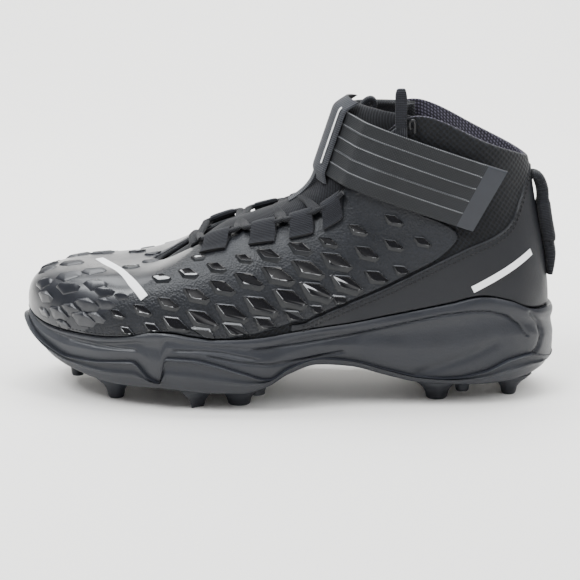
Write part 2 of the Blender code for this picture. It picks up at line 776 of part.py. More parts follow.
def build_insole(collection, finish):
    """The insole that lies on the footbed inside the upper."""
    u = loop_columns()
    bed = on_upper(u, np.zeros(len(u)), np.full(len(u), GAP))[:, :2]
    spine = spine_points(u)
    length = np.linalg.norm(spine - bed, axis=1)
    lean = -np.sum(outward(u) * (spine - bed), axis=1) / length
    share = (UPPER_WALL * 1.25 + 3 * GAP) / (length * np.maximum(lean, 0.3))
    half = (bed + spine) / 2
    levels = [sole_z("bed", plan[:, 0]) + 1.6 * GAP for plan in (spine, half, bed)]
    edge = bed + (spine - bed) * share[:, None]
    levels[2] += (levels[1] - levels[2]) * 2 * share
    under = [np.column_stack([plan, level]) for plan, level in zip((spine, half, edge), levels)]
    over = [points + np.array([0, 0, INSOLE]) for points in under[::-1]]
    over[0][:, 2] += 0.4 * INSOLE
    return add_object("insole", spine_solid("insole", np.stack([*under, *over], 1)), finish, collection)


def tongue_crest(row):
    """The middle of the tongue's outer face at rows of the shape table."""
    shape = table(TONGUE_SHAPE, TONGUE_COLUMNS)
    side = np.interp(row, (shape["row"][0], shape["row"][-1]), TONGUE_CENTRE)
    along = smooth_table(row, shape["row"], shape["along"])
    rise = smooth_table(row, shape["row"], shape["rise"])
    return np.stack([along_x(along), side_y(side), rise_z(rise)], -1)


def tongue_surface(row, share):
    """The tongue's outer face. share crosses it from the outer edge to the inner one, and beyond 1 it is tucked in."""
    row, share = np.broadcast_arrays(np.asarray(row, float), np.asarray(share, float))
    u = np.where(share < 0, row, -row)
    size = np.abs(share)
    depth = -(UPPER_WALL + TONGUE_GAP + TONGUE_ROOT_GAP * np.clip((3.5 - row) / 1.5, 0, 1))
    edge = on_upper(u, 1 - np.clip(size - 1, 0, 1) * 4 * TONGUE_TUCK, depth)
    turn = (1 - np.clip(size, 0, 1)) * math.pi / 2
    climb = np.sin(turn)
    cross = TONGUE_FLAT * np.sin(turn) + (1 - TONGUE_FLAT) * (1 - np.cos(turn))
    weight = np.stack([climb, cross, climb], -1)
    return edge + (tongue_crest(row) - edge) * weight


def tongue_normal(row, share):
    step = 0.02
    across = tongue_surface(row, share + step) - tongue_surface(row, share - step)
    climb = tongue_surface(row + step, share) - tongue_surface(row - step, share)
    normal = np.cross(climb, across)
    return normal / np.linalg.norm(normal, axis=-1, keepdims=True)


def build_tongue(collection, finish):
    """The tongue, from its root under the vamp to its top, with its long edges tucked under the upper."""
    rows = np.linspace(TONGUE_SHAPE[0][0], TONGUE_SHAPE[-1][0], TONGUE_ROWS)
    grid = tongue_surface(rows[None, :], np.array(TONGUE_ACROSS)[::-1, None])
    obj = add_object("tongue", grid_mesh("tongue", grid), finish, collection)
    return thicken(obj, TONGUE, outwards=False)


def strap_frame():
    """A point on the strap's front, the direction that it runs back in, and the direction across its width."""
    slope = np.array([math.cos(STRAP_LEAN), 0, -math.sin(STRAP_LEAN)])
    across = np.array([math.sin(STRAP_LEAN), 0, math.cos(STRAP_LEAN)])
    front = np.array([along_x(STRAP_FRONT[0]), 0, rise_z(STRAP_FRONT[1])])
    return front, slope, across


def in_strap_frame(points):
    """Reach along the slope, Y and height across the strap's width, for each point."""
    front, slope, across = strap_frame()
    offset = np.asarray(points) - front
    return np.stack([offset @ slope, offset[..., 1], offset @ across], -1)


def from_strap_frame(reach, y, height):
    front, slope, across = strap_frame()
    return front + slope * reach + np.array([0, 1, 0]) * y + across * height


def convex_outline(points):
    """The convex outline of points in a plane, anticlockwise."""
    ordered = sorted(map(tuple, points))
    halves = []
    for run in (ordered, ordered[::-1]):
        half = []
        for point in run:
            while len(half) > 1:
                (ax, ay), (bx, by) = half[-2], half[-1]
                if (bx - ax) * (point[1] - ay) - (by - ay) * (point[0] - ax) > 0:
                    break
                half.pop()
            half.append(point)
        halves += half[:-1]
    return np.array(halves)


def tongue_samples():
    return tongue_surface(np.linspace(7, 10.5, 29)[:, None], np.linspace(-1, 1, 25)[None, :]).reshape(-1, 3)


def taut_line(clearance):
    """Where a taut band lies round the ankle in its own plane, as reach and Y, from the inner side to the outer."""
    u = np.arange(8, LOOP_ROWS - 8 + 0.1, 0.25)
    v = np.linspace(0.4, 1, 19)
    layer = np.full((len(u), len(v)), 2 * SKIN_HEIGHT + OVERLAY)
    wide_u, wide_v = np.meshgrid(u, v, indexing="ij")
    obstacles = np.vstack([on_upper(wide_u, wide_v, layer).reshape(-1, 3), tongue_samples()])
    local = in_strap_frame(obstacles)
    near = local[np.abs(local[:, 2]) < STRAP_WIDTH / 2 + STRAP_MARGIN]
    angles = np.linspace(0, 2 * math.pi, 24, endpoint=False)
    ring = clearance * np.column_stack([np.cos(angles), np.sin(angles)])
    return convex_outline((near[:, None, :2] + ring[None]).reshape(-1, 2))


def between_ends(line, inner_end, outer_end, count):
    """Evenly spaced points of a line of reach and Y, cut at a reach on the inner side and one on the outer side."""
    dense = []
    for a, b in zip(line, np.roll(line, -1, axis=0)):
        dense += [a + (b - a) * t for t in np.linspace(0, 1, 12, endpoint=False)]
    dense = np.array(dense)
    keep = np.where(dense[:, 1] > 0, dense[:, 0] < inner_end, dense[:, 0] < outer_end)
    first = int(np.argmax(~keep))
    dense = np.roll(dense, -first, axis=0)
    dense = dense[np.roll(keep, -first)]
    run = np.concatenate([[0], np.cumsum(np.linalg.norm(np.diff(dense, axis=0), axis=1))])
    where = np.linspace(0, run[-1], count)
    return np.column_stack([np.interp(where, run, dense[:, k]) for k in (0, 1)])


def build_strap(collection, finish):
    """The ankle strap, from the inner side round the front of the tongue to its free end on the outer side."""
    line = between_ends(
        taut_line(STRAP_THICKNESS / 2 + STRAP_CLEARANCE),
        STRAP_INNER_END * LENGTH,
        STRAP_OUTER_END * LENGTH,
        STRAP_POINTS,
    )
    heights = np.linspace(-0.5, 0.5, 4) * STRAP_WIDTH
    grid = np.array([[from_strap_frame(reach, y, height) for height in heights] for reach, y in line])
    obj = add_object("ankle_strap", grid_mesh("ankle_strap", grid), finish, collection)
    strap = thicken(obj, STRAP_THICKNESS)
    strap.modifiers["wall"].offset = 0.0
    return strap


def build_tongue_cover(collection, finish):
    """The panel down the tongue's front, which the strap runs under."""
    line = taut_line(STRAP_THICKNESS + 2 * STRAP_CLEARANCE + COVER / 2 + GAP)
    line = line[line[:, 0] < STRAP_INNER_END * LENGTH / 2]
    line = line[np.argsort(line[:, 1])]
    tongue = in_strap_frame(tongue_surface(np.linspace(7, 10.5, 71)[:, None], np.linspace(-1, 1, 61)[None, :]))
    tongue = tongue.reshape(-1, 3)
    half = STRAP_WIDTH / 2
    middle = tongue_crest(np.array(9.0))[1]
    heights = [-half - COVER_BELOW, -half - COVER_BELOW / 2, -half - COVER_STEP, -half / 2, 0]
    heights += [half / 2, half + COVER_STEP, half + COVER_ABOVE / 2, half + COVER_ABOVE]
    grid = []
    for y in np.linspace(-COVER_HALF, COVER_HALF, 7) + middle:
        column = []
        for height in heights:
            near = np.hypot(tongue[:, 1] - y, tongue[:, 2] - height) < COVER_REACH
            skin = tongue[near, 0].min() if near.any() else COVER_DEEPEST
            past = max(0.0, abs(height) - half)
            over_strap = np.interp(y, line[:, 1], line[:, 0]) + past * 0.8
            column.append(from_strap_frame(min(over_strap, skin - COVER / 2 - 2 * GAP), y, height))
        grid.append(column)
    obj = add_object("tongue_cover", grid_mesh("tongue_cover", np.array(grid)), finish, collection)
    cover = thicken(obj, COVER)
    cover.modifiers["wall"].offset = 0.0
    return cover


def ribbon(name, path, across, width, thickness, finish, collection):
    """A flat band along a path, with its width along one direction."""
    path = np.asarray(path, float)
    across = np.asarray(across, float)
    across = across / np.linalg.norm(across)
    grid = np.stack([path - across * width / 2, path + across * width / 2], 1)
    obj = add_object(name, grid_mesh(name, grid), finish, collection)
    made = thicken(obj, thickness)
    made.modifiers["wall"].offset = 0.0
    return made


def below_throat(u, reach):
    """The v of the column's points at given lengths down the side from the throat's edge."""
    climb = np.linspace(0.5, 1, 101)
    side = upper_surface(np.full(101, u), climb)
    run = np.concatenate([[0], np.cumsum(np.linalg.norm(np.diff(side, axis=0), axis=1))])
    return np.interp(run[-1] - reach, run, climb)


def throat_frame(u):
    """A frame where a loop is folded: its point on the skin, down the side, out of the skin, and along the edge."""
    fold = below_throat(u, LOOP_SEAT)
    point = on_upper(u, fold, SKIN_HEIGHT + SKIN)
    lower = on_upper(u, fold - 0.05, SKIN_HEIGHT + SKIN)
    down = (lower - point) / np.linalg.norm(lower - point)
    along = upper_surface(u + 0.05, 1.0) - upper_surface(u - 0.05, 1.0)
    along = along - down * (along @ down)
    along = along / np.linalg.norm(along)
    out = np.cross(along, -down)
    out = out * np.sign(out @ upper_normal(u, 0.95))
    return point, down, out, along


def lace_seat(u):
    """Middle of the lace where it runs through a loop."""
    point, down, out, _ = throat_frame(u)
    return point - down * LACE_DROP + out * (LOOP_CLEARANCE + (WEBBING + LOOP_BORE) / 2)


def build_lace_loop(name, row, finish, collection):
    """A webbing loop, folded round the lace, with both ends sewn to the skin."""
    speed = np.linalg.norm(upper_surface(row + 0.05, 1.0) - upper_surface(row - 0.05, 1.0)) / 0.1
    grid = []
    for part in (-1, 0, 1):
        u = row + part * LOOP_WIDTH / 2 / speed
        point, down, out, _ = throat_frame(u)
        column = []
        for reach, height in LOOP_FOLD:
            reach, height = reach * LOOP_LENGTH, LOOP_CLEARANCE + WEBBING / 2 + height * LOOP_BORE
            if reach < 0:
                column.append(point + down * reach + out * height)
            else:
                v = below_throat(u, LOOP_SEAT + reach)
                column.append(on_upper(u, v, SKIN_HEIGHT + SKIN + height))
        grid.append(column)
    loop = thicken(add_object(name, grid_mesh(name, np.array(grid)), finish, collection), WEBBING)
    loop.modifiers["wall"].offset = 0.0
    return loop


def tube(name, points, radius, collection, finish, resolution=2):
    """A round cord through the points, as a curve with filled caps."""
    curve = bpy.data.curves.new(name, "CURVE")
    curve.dimensions = "3D"
    curve.bevel_depth = radius
    curve.bevel_resolution = resolution
    curve.use_fill_caps = True
    spline = curve.splines.new("POLY")
    spline.points.add(len(points) - 1)
    for target, point in zip(spline.points, points):
        target.co = (*point, 1.0)
    obj = bpy.data.objects.new(name, curve)
    obj.data.materials.append(finish)
    collection.objects.link(obj)
    return obj


def solid_of_curve(obj, collection):
    """The curve's tube as a closed mesh object of the same name."""
    name, finish = obj.name, obj.data.materials[0]
    graph = bpy.context.evaluated_depsgraph_get()
    made = bpy.data.meshes.new_from_object(obj.evaluated_get(graph))
    mesh = bmesh.new()
    mesh.from_mesh(made)
    bmesh.ops.remove_doubles(mesh, verts=mesh.verts, dist=0.00001)
    bmesh.ops.recalc_face_normals(mesh, faces=mesh.faces)
    mesh.to_mesh(made)
    mesh.free()
    bpy.data.objects.remove(obj)
    made.materials.clear()
    return add_object(name, made, finish, collection)


def lace_run(row):
    """How many rows of the shape table the lace runs straight on either side of a loop's middle."""
    speed = np.linalg.norm(upper_surface(row + 0.05, 1.0) - upper_surface(row - 0.05, 1.0)) / 0.1
    return (LOOP_WIDTH / 2 + LACE_RUN) / speed


def lace_in_loop(side, row):
    """The lace through a loop, from its toe end. side is 1 for the outer loops and -1 for the inner ones."""
    return [lace_seat(side * (row + part * lace_run(row))) for part in (-1, 0, 1)]


def lace_route(start):
    """A lace that climbs the throat in a zigzag, starting on the outer side at 1 or on the inner side at -1."""
    points = []
    side = start
    for row, following in zip(LACE_LOOPS, (*LACE_LOOPS[1:], None)):
        points += lace_in_loop(side, row)
        if following is None:
            return points
        leave = points[-1]
        enter = lace_in_loop(-side, following)[0]
        low, high = row + lace_run(row), following - lace_run(following)
        for part in LACE_STEPS:
            chord = leave * (1 - part) + enter * part
            station = low + (high - low) * part
            share = np.array((2 * part - 1) * side)
            surface = tongue_surface(station, share)
            normal = tongue_normal(station, share)
            height = max(LACE / 2 + LACE_CLEARANCE, float((chord - surface) @ normal))
            points.append(surface + normal * height)
        side = -side
    return points


def lace_bar():
    """The first lace of the throat, straight across in front of the lowest loops."""
    ends = [lace_in_loop(side, LACE_LOOPS[0])[0] for side in (1, -1)]
    bow = np.array(LACE_BOW)
    return [ends[0], ends[0] * 0.7 + ends[1] * 0.3 + bow, ends[0] * 0.3 + ends[1] * 0.7 + bow, ends[1]]


def build_laces(collection, finish):
    """The crossings of the lace over the tongue, joined where they cross."""
    routes = (lace_route(1), lace_route(-1), lace_bar())
    strands = [tube(f"strand_{i}", route, LACE / 2, collection, finish) for i, route in enumerate(routes)]
    strands = [solid_of_curve(one, collection) for one in strands]
    laces = strands[0]
    laces.name = "lace_crossings"
    for other in strands[1:]:
        join = laces.modifiers.new(other.name, "BOOLEAN")
        join.operation = "UNION"
        join.solver = "EXACT"
        join.object = other
    apply_modifiers(laces)
    for other in strands[1:]:
        bpy.data.objects.remove(other)
    return laces


def build_heel_pull(collection, finish):
    """The webbing pull on the back of the heel, with a sleeve moulded round its middle."""
    climb = np.linspace(0, 1, 101)
    heel = np.full(101, ROWS - 1.0)
    back = on_upper(heel, climb, np.full(101, GAP + OVERLAY))
    rings = []
    middle = np.array([(along_x(a), 0.0, rise_z(r)) for a, r, _ in PULL_LINE])
    for i, (_, _, part) in enumerate(PULL_LINE):
        thickness = part * PULL_THICKNESS
        ahead = middle[min(i + 1, len(middle) - 1)] - middle[max(i - 1, 0)]
        square = np.array([-ahead[2], 0.0, ahead[0]]) / np.linalg.norm(ahead)
        point = middle[i].copy()
        reach = abs(square[0]) * thickness / 2 + 2 * GAP
        point[0] = max(point[0], float(np.interp(point[2], back[:, 2], back[:, 0])) + reach)
        width = PULL_WIDTH if part < SLEEVE_PART else PULL_WIDTH + SLEEVE_EXTRA
        corners = []
        for side, over in ((-1, -1), (1, -1), (1, 1), (-1, 1)):
            corners.append(point + np.array([0, side * width / 2, 0]) + square * over * thickness / 2)
        rings.append(corners)
    return add_object("heel_pull", bar_mesh("heel_pull", rings), finish, collection)


def bar_mesh(name, rings):
    """A closed bar through rings of four corners."""
    mesh = bmesh.new()
    verts = [[mesh.verts.new(corner) for corner in ring] for ring in rings]
    for here, following in zip(verts, verts[1:]):
        for k in range(4):
            mesh.faces.new((here[k], here[(k + 1) % 4], following[(k + 1) % 4], following[k]))
    mesh.faces.new(verts[0])
    mesh.faces.new(verts[-1])
    bmesh.ops.recalc_face_normals(mesh, faces=mesh.faces)
    return finished_mesh(name, mesh)


def build_collar_pull(collection, finish):
    """A folded ribbon that stands on the collar's front corner on the outer side."""
    outer = [on_upper(COLLAR_PULL_ROW, v, RIBBON / 2 + RIBBON_CLEARANCE) for v in (0.980, 0.990, 1.0)]
    edge = upper_surface(COLLAR_PULL_ROW, 1.0)
    up = outer[2] - outer[0]
    up = up / np.linalg.norm(up)
    inward = np.array([0.0, 1.0, 0.0])
    crown = [
        outer[2] + up * COLLAR_PULL_HEIGHT * 0.5,
        outer[2] + up * COLLAR_PULL_HEIGHT * 0.9 + inward * RIBBON * 0.4,
        outer[2] + up * COLLAR_PULL_HEIGHT + inward * RIBBON * 1.6,
        outer[2] + up * COLLAR_PULL_HEIGHT * 0.9 + inward * RIBBON * 2.8,
        outer[2] + up * COLLAR_PULL_HEIGHT * 0.5 + inward * RIBBON * 2.6,
        edge + up * COLLAR_PULL_FOOT + inward * RIBBON * 1.4,
    ]
    across = np.cross(up, inward)
    return ribbon("collar_pull", [*outer, *crown], across, RIBBON_WIDTH, RIBBON, finish, collection)


def build_tongue_pull(collection, finish):
    """A folded ribbon on the back of the tongue's top."""
    last = TONGUE_SHAPE[-1][0]
    top = tongue_crest(np.array(last))
    out = tongue_normal(np.array(last), np.array(0.0))
    up = top - tongue_crest(np.array(last - 0.3))
    up = up / np.linalg.norm(up)
    foot = top - out * (TONGUE + GAP + RIBBON / 2 + TONGUE_PULL_CLEARANCE)
    arch = ((-0.7, 0.0), (0.0, 0.0), (0.55, 0.15), (0.9, 0.5), (1.0, 1.0), (0.75, 1.6), (0.2, 1.75), (-0.4, 1.7))
    path = [foot + up * TONGUE_PULL_HEIGHT * a - out * TONGUE_PULL_HEIGHT * 0.6 * b for a, b in arch]
    return ribbon("tongue_pull", path, (0, 1, 0), RIBBON_WIDTH, RIBBON, finish, collection)


def main():
    clear_scene()
    shoe = bpy.data.collections.new("football_cleat")
    bpy.context.scene.collection.children.link(shoe)
    rubber = material("outsole_rubber", (0.045, 0.048, 0.052), 0.45)
    foam = material("midsole_foam", (0.050, 0.052, 0.056), 0.55)
    textile = material("upper_textile", (0.020, 0.021, 0.025), 0.85)
    moulded = material("moulded_skin", (0.030, 0.032, 0.036), 0.40)
    leather = material("heel_leather", (0.032, 0.034, 0.038), 0.50)
    webbing = material("webbing", (0.035, 0.036, 0.039), 0.80)
    lace = material("lace", (0.025, 0.026, 0.029), 0.85)
    strap = material("strap", (0.040, 0.042, 0.045), 0.65)
    lining = material("lining", (0.018, 0.018, 0.022), 0.90)
    build_midsole(shoe, foam)
    build_outsole(shoe, rubber)
    build_upper(shoe, textile)
    build_skin(shoe, moulded)
    build_heel_overlay(shoe, leather)
    build_insole(shoe, lining)
    build_tongue(shoe, textile)
    build_strap(shoe, strap)
    build_tongue_cover(shoe, webbing)
    for number, row in enumerate(LACE_LOOPS, 1):
        build_lace_loop(f"lace_loop_outer_{number}", row, webbing, shoe)
        build_lace_loop(f"lace_loop_inner_{number}", -row, webbing, shoe)
    build_laces(shoe, lace)
    build_heel_pull(shoe, webbing)
    build_collar_pull(shoe, webbing)
    build_tongue_pull(shoe, webbing)


main()
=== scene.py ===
"""Looks of a left american football cleat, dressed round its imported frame.

Metres, +Z up. The toe points along -X, the outer side of the foot faces -Y, and the studs stand on Z = 0.
The main forms come from one loop of columns. A column starts on the sole's outline and climbs the upper to
the throat or the collar. The loop runs from the toe along the outer side to the heel, and back along the
inner side.
"""

import math

import bmesh
import bpy
import numpy as np
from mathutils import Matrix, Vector
from mathutils.bvhtree import BVHTree


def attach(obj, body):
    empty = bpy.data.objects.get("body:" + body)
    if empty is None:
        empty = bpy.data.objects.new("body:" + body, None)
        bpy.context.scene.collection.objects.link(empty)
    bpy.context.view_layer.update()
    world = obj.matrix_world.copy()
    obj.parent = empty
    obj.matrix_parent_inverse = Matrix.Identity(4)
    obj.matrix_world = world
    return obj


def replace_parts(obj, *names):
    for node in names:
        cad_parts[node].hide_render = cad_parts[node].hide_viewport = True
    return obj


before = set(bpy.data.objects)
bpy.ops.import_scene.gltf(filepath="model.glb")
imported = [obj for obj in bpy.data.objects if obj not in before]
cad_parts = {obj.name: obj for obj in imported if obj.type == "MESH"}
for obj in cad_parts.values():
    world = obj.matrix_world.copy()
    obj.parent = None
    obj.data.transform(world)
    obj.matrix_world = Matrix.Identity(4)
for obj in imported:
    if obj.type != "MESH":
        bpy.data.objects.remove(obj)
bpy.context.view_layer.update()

# Driving sizes of the shoe
LENGTH = 0.315
BALL_WIDTH = 0.1085
STUD_HEIGHT = 0.0100
SOLE_HEIGHT = 0.0550
DATUM_HEIGHT = 0.0200
UPPER_RISE = 0.1400

# Walls, layers and clearances
GAP = 0.0003
UPPER_WALL = 0.0022
COLLAR_PAD = 0.0060
SKIN = 0.0009
RIM_LIP = 0.0013
OVERLAY = 0.0012
RIM_WALL = 0.0030
PLATE = 0.0026
PLATE_SIDE = 0.0016
INSOLE = 0.0040
TONGUE = 0.0045
TONGUE_GAP = 0.0011
TONGUE_ROOT_GAP = 0.0014

# Strap, webbing and laces
STRAP_WIDTH = 0.0390
STRAP_THICKNESS = 0.0022
STRAP_MARGIN = 0.0020
COVER = 0.0014
WEBBING = 0.0010
LOOP_WIDTH = 0.0140
LOOP_BORE = 0.0054
LOOP_SEAT = 0.0040
LOOP_LENGTH = 0.0125
LACE = 0.0027
LACE_CLEARANCE = 0.0014
LACE_RUN = 0.0030
LACE_DROP = 0.0003
LACE_STEPS = (0.20, 0.35, 0.50, 0.65, 0.80)
PULL_WIDTH = 0.0130
PULL_THICKNESS = 0.0076
SLEEVE_EXTRA = 0.0020

# The last, one row for each station from the toe to the heel. along is a share of LENGTH, outer and inner are
# shares of half of BALL_WIDTH, wall is a share of RIM_WALL, and the rest are shares of UPPER_RISE. bulge and
# lift place the handle over the sole, spread and drop the handle under the top line.
SHAPE_COLUMNS = (
    "along", "outer", "inner", "wall", "top_along", "top_outer", "top_inner", "top_rise",
    "bulge", "lift", "spread", "drop",
)
SHAPE = (
    (0.000, 0.160, 0.160, 0.77, 0.249, 0.073, 0.073, 0.334, 0.062, 0.298, 0.390, 0.036),
    (0.012, -0.109, 0.418, 0.77, 0.251, 0.009, 0.136, 0.336, 0.061, 0.294, 0.365, 0.036),
    (0.045, -0.373, 0.655, 0.80, 0.257, -0.064, 0.209, 0.342, 0.058, 0.282, 0.305, 0.036),
    (0.105, -0.618, 0.855, 0.87, 0.275, -0.145, 0.291, 0.360, 0.052, 0.268, 0.235, 0.038),
    (0.185, -0.818, 0.964, 0.93, 0.310, -0.227, 0.364, 0.404, 0.045, 0.275, 0.200, 0.040),
    (0.280, -0.955, 1.000, 1.00, 0.367, -0.282, 0.400, 0.466, 0.038, 0.285, 0.165, 0.044),
    (0.385, -1.000, 0.918, 1.07, 0.443, -0.327, 0.418, 0.518, 0.034, 0.290, 0.140, 0.050),
    (0.500, -0.936, 0.782, 1.07, 0.525, -0.364, 0.436, 0.575, 0.030, 0.300, 0.100, 0.075),
    (0.600, -0.836, 0.709, 1.07, 0.595, -0.418, 0.464, 0.679, 0.026, 0.320, 0.055, 0.160),
    (0.690, -0.773, 0.691, 1.07, 0.643, -0.473, 0.491, 0.836, 0.024, 0.350, 0.005, 0.250),
    (0.770, -0.745, 0.691, 1.13, 0.703, -0.555, 0.545, 0.975, 0.026, 0.370, -0.035, 0.300),
    (0.840, -0.727, 0.682, 1.27, 0.767, -0.600, 0.591, 0.972, 0.032, 0.350, -0.055, 0.300),
    (0.905, -0.655, 0.618, 1.47, 0.843, -0.555, 0.545, 0.889, 0.036, 0.320, -0.040, 0.290),
    (0.965, -0.436, 0.418, 1.67, 0.911, -0.309, 0.309, 0.825, 0.038, 0.290, -0.005, 0.270),
    (1.000, 0.000, 0.000, 1.80, 0.942, 0.000, 0.000, 0.793, 0.038, 0.250, 0.018, 0.250),
)
ROWS = len(SHAPE)
LOOP_ROWS = 2 * (ROWS - 1)

# Heights of the sole over the plate's underside, as shares of SOLE_HEIGHT: the rim round the upper, the top
# of the outsole's wrap, the side's lower edge and the plate along the middle.
SOLE_COLUMNS = ("along", "rim", "wrap", "edge", "plate")
SOLE = (
    (0.000, 0.700, 0.600, 0.440, 0.360),
    (0.020, 0.640, 0.500, 0.370, 0.300),
    (0.050, 0.605, 0.410, 0.265, 0.215),
    (0.090, 0.585, 0.330, 0.180, 0.130),
    (0.140, 0.575, 0.325, 0.110, 0.060),
    (0.180, 0.590, 0.345, 0.080, 0.025),
    (0.212, 0.625, 0.360, 0.075, 0.010),
    (0.245, 0.665, 0.190, 0.080, 0.000),
    (0.262, 0.672, 0.150, 0.078, 0.000),
    (0.274, 0.670, 0.425, 0.070, 0.000),
    (0.320, 0.635, 0.420, 0.045, 0.000),
    (0.365, 0.612, 0.365, 0.030, 0.000),
    (0.415, 0.615, 0.270, 0.030, 0.000),
    (0.460, 0.635, 0.195, 0.105, 0.045),
    (0.500, 0.670, 0.300, 0.250, 0.150),
    (0.550, 0.705, 0.385, 0.335, 0.240),
    (0.610, 0.740, 0.345, 0.295, 0.215),
    (0.680, 0.805, 0.220, 0.170, 0.110),
    (0.740, 0.865, 0.135, 0.080, 0.040),
    (0.800, 0.930, 0.140, 0.050, 0.010),
    (0.860, 0.995, 0.205, 0.050, 0.008),
    (0.910, 0.930, 0.320, 0.070, 0.015),
    (0.945, 0.830, 0.345, 0.095, 0.035),
    (0.970, 0.785, 0.290, 0.120, 0.055),
    (1.000, 0.760, 0.270, 0.160, 0.080),
)

# Height of the footbed over the plate's underside, as a share of SOLE_HEIGHT.
BED_COLUMNS = ("along", "bed")
BED = (
    (0.00, 0.540),
    (0.04, 0.470),
    (0.10, 0.375),
    (0.20, 0.295),
    (0.35, 0.275),
    (0.44, 0.340),
    (0.51, 0.460),
    (0.60, 0.490),
    (0.72, 0.470),
    (0.85, 0.450),
    (1.00, 0.450),
)

# The midsole's side over the outsole's wrap: share of the way from the wrap up to the rim, and how far it
# stands out beyond the outline as a share of RIM_WALL. Below the wrap the side falls in towards the ground.
SIDE = ((0.86, -0.05), (0.72, -0.35), (0.40, 0.15))
WRAP_OUT = 0.10
EDGE_IN = 0.95

# Rings of the underside: inset is a share of half of BALL_WIDTH, and lean is how far its height follows the
# edge. The spine runs between two shares of LENGTH.
UNDERSIDE = ((0.10, 0.55), (0.30, 0.12))
SPINE_ENDS = (0.115, 0.900)

# Lines on the side of the upper: along, and rise as a share of UPPER_RISE over the datum.
HEEL_OVERLAY_LINE = (
    (0.480, 0.090),
    (0.532, 0.166),
    (0.590, 0.219),
    (0.671, 0.290),
    (0.725, 0.347),
    (0.778, 0.405),
    (0.832, 0.461),
    (0.873, 0.497),
    (0.902, 0.541),
    (0.922, 0.630),
    (0.936, 0.730),
    (0.950, 0.800),
)
SKIN_BACK_LINE = (
    (0.600, 0.800),
    (0.690, 0.660),
    (0.745, 0.590),
    (0.790, 0.568),
    (0.812, 0.545),
    (0.825, 0.480),
)
SEAM_BAND = 0.030
OVERLAY_ENDS = 7.0
SKIN_ENDS = 11.0
SKIN_TOP = 0.985
SKIN_HEIGHT = 0.00045
OVERLAY_LEAST = 0.035
OVERLAY_TOP = 0.975

# The tongue's crest at rows of the shape table, as shares of LENGTH and of UPPER_RISE.
TONGUE_COLUMNS = ("row", "along", "rise")
TONGUE_SHAPE = (
    (2.00, 0.243, 0.306),
    (3.50, 0.285, 0.367),
    (5.00, 0.360, 0.463),
    (6.00, 0.435, 0.524),
    (7.00, 0.505, 0.585),
    (8.00, 0.547, 0.675),
    (9.00, 0.567, 0.800),
    (10.0, 0.600, 0.975),
    (10.5, 0.615, 1.030),
)
TONGUE_CENTRE = (0.070, 0.020)
TONGUE_TUCK = 0.08
TONGUE_FLAT = 0.35

# The ankle strap: its slope, a point on the middle of its front, and how far its two ends reach along the
# slope as shares of LENGTH. Between its ends it lies taut over the tongue and the ankle.
STRAP_LEAN = math.radians(18.4)
STRAP_FRONT = (0.589, 0.857)
STRAP_OUTER_END = 0.298
STRAP_INNER_END = 0.235
STRAP_CLEARANCE = 0.0008

# The cover on the tongue's front, which holds the strap: half its width, and how far it goes on below and
# above the strap. The tongue's points within COVER_REACH hold it out, and where none is near it may lie as
# deep as COVER_DEEPEST.
COVER_HALF = 0.0150
COVER_BELOW = 0.0050
COVER_ABOVE = 0.0070
COVER_REACH = 0.0022
COVER_DEEPEST = 0.0200

# Webbing lace loops: the row of the shape table at which each pair stands.
LACE_LOOPS = (5.10, 6.15, 6.98, 7.74)
LOOP_FOLD = (
    (1.00, 0.00),
    (0.66, 0.00),
    (0.33, 0.00),
    (0.06, 0.02),
    (-0.16, 0.16),
    (-0.26, 0.50),
    (-0.16, 0.86),
    (0.08, 1.00),
    (0.45, 0.60),
    (0.75, 0.25),
    (1.00, 0.25),
)
LOOP_CLEARANCE = 0.0006
FOLD_FLAT = 0.66
LACE_TAUT = 0.8

# Studs: along, side, height as a share of STUD_HEIGHT, top and foot radius, stretch along X, sides.
STUD_COLUMNS = ("along", "side", "height", "top", "foot", "stretch", "sides")
STUD_RADIUS = 0.0070
STUDS = (
    (0.088, 0.170, 0.70, 0.85, 0.55, 1.00, 10),
    (0.172, -0.430, 1.00, 1.05, 0.62, 1.10, 10),
    (0.165, 0.690, 1.00, 1.05, 0.62, 1.10, 10),
    (0.325, -0.750, 1.00, 1.30, 0.70, 1.00, 4),
    (0.305, 0.770, 1.00, 1.30, 0.70, 1.00, 4),
    (0.405, -0.660, 1.00, 1.15, 0.75, 1.25, 10),
    (0.395, 0.620, 1.00, 1.15, 0.75, 1.25, 10),
    (0.240, 0.130, 0.85, 1.00, 0.60, 1.00, 6),
    (0.345, 0.020, 0.85, 1.00, 0.60, 1.00, 6),
    (0.440, -0.640, 0.45, 0.75, 0.60, 1.00, 8),
    (0.776, -0.450, 1.00, 1.25, 0.78, 1.15, 10),
    (0.776, 0.430, 1.00, 1.25, 0.78, 1.15, 10),
    (0.824, -0.450, 0.55, 0.70, 0.55, 1.00, 8),
    (0.824, 0.430, 0.55, 0.70, 0.55, 1.00, 8),
    (0.915, -0.300, 1.00, 1.15, 0.62, 1.00, 10),
    (0.915, 0.290, 1.00, 1.15, 0.62, 1.00, 10),
)
STUD_SINK = 0.5

# The heel pull: along and rise of its middle line, and its thickness as a share of PULL_THICKNESS. From
# SLEEVE_PART upwards it is the sleeve that is moulded round it.
PULL_LINE = (
    (0.948, 0.706, 0.45),
    (0.958, 0.716, 0.62),
    (0.970, 0.700, 0.80),
    (0.978, 0.655, 0.84),
    (0.980, 0.606, 0.84),
    (0.980, 0.600, 1.00),
    (0.982, 0.520, 1.00),
    (0.983, 0.440, 1.00),
    (0.983, 0.434, 0.84),
    (0.983, 0.380, 0.84),
    (0.980, 0.330, 0.66),
    (0.972, 0.288, 0.45),
)
SLEEVE_PART = 0.95

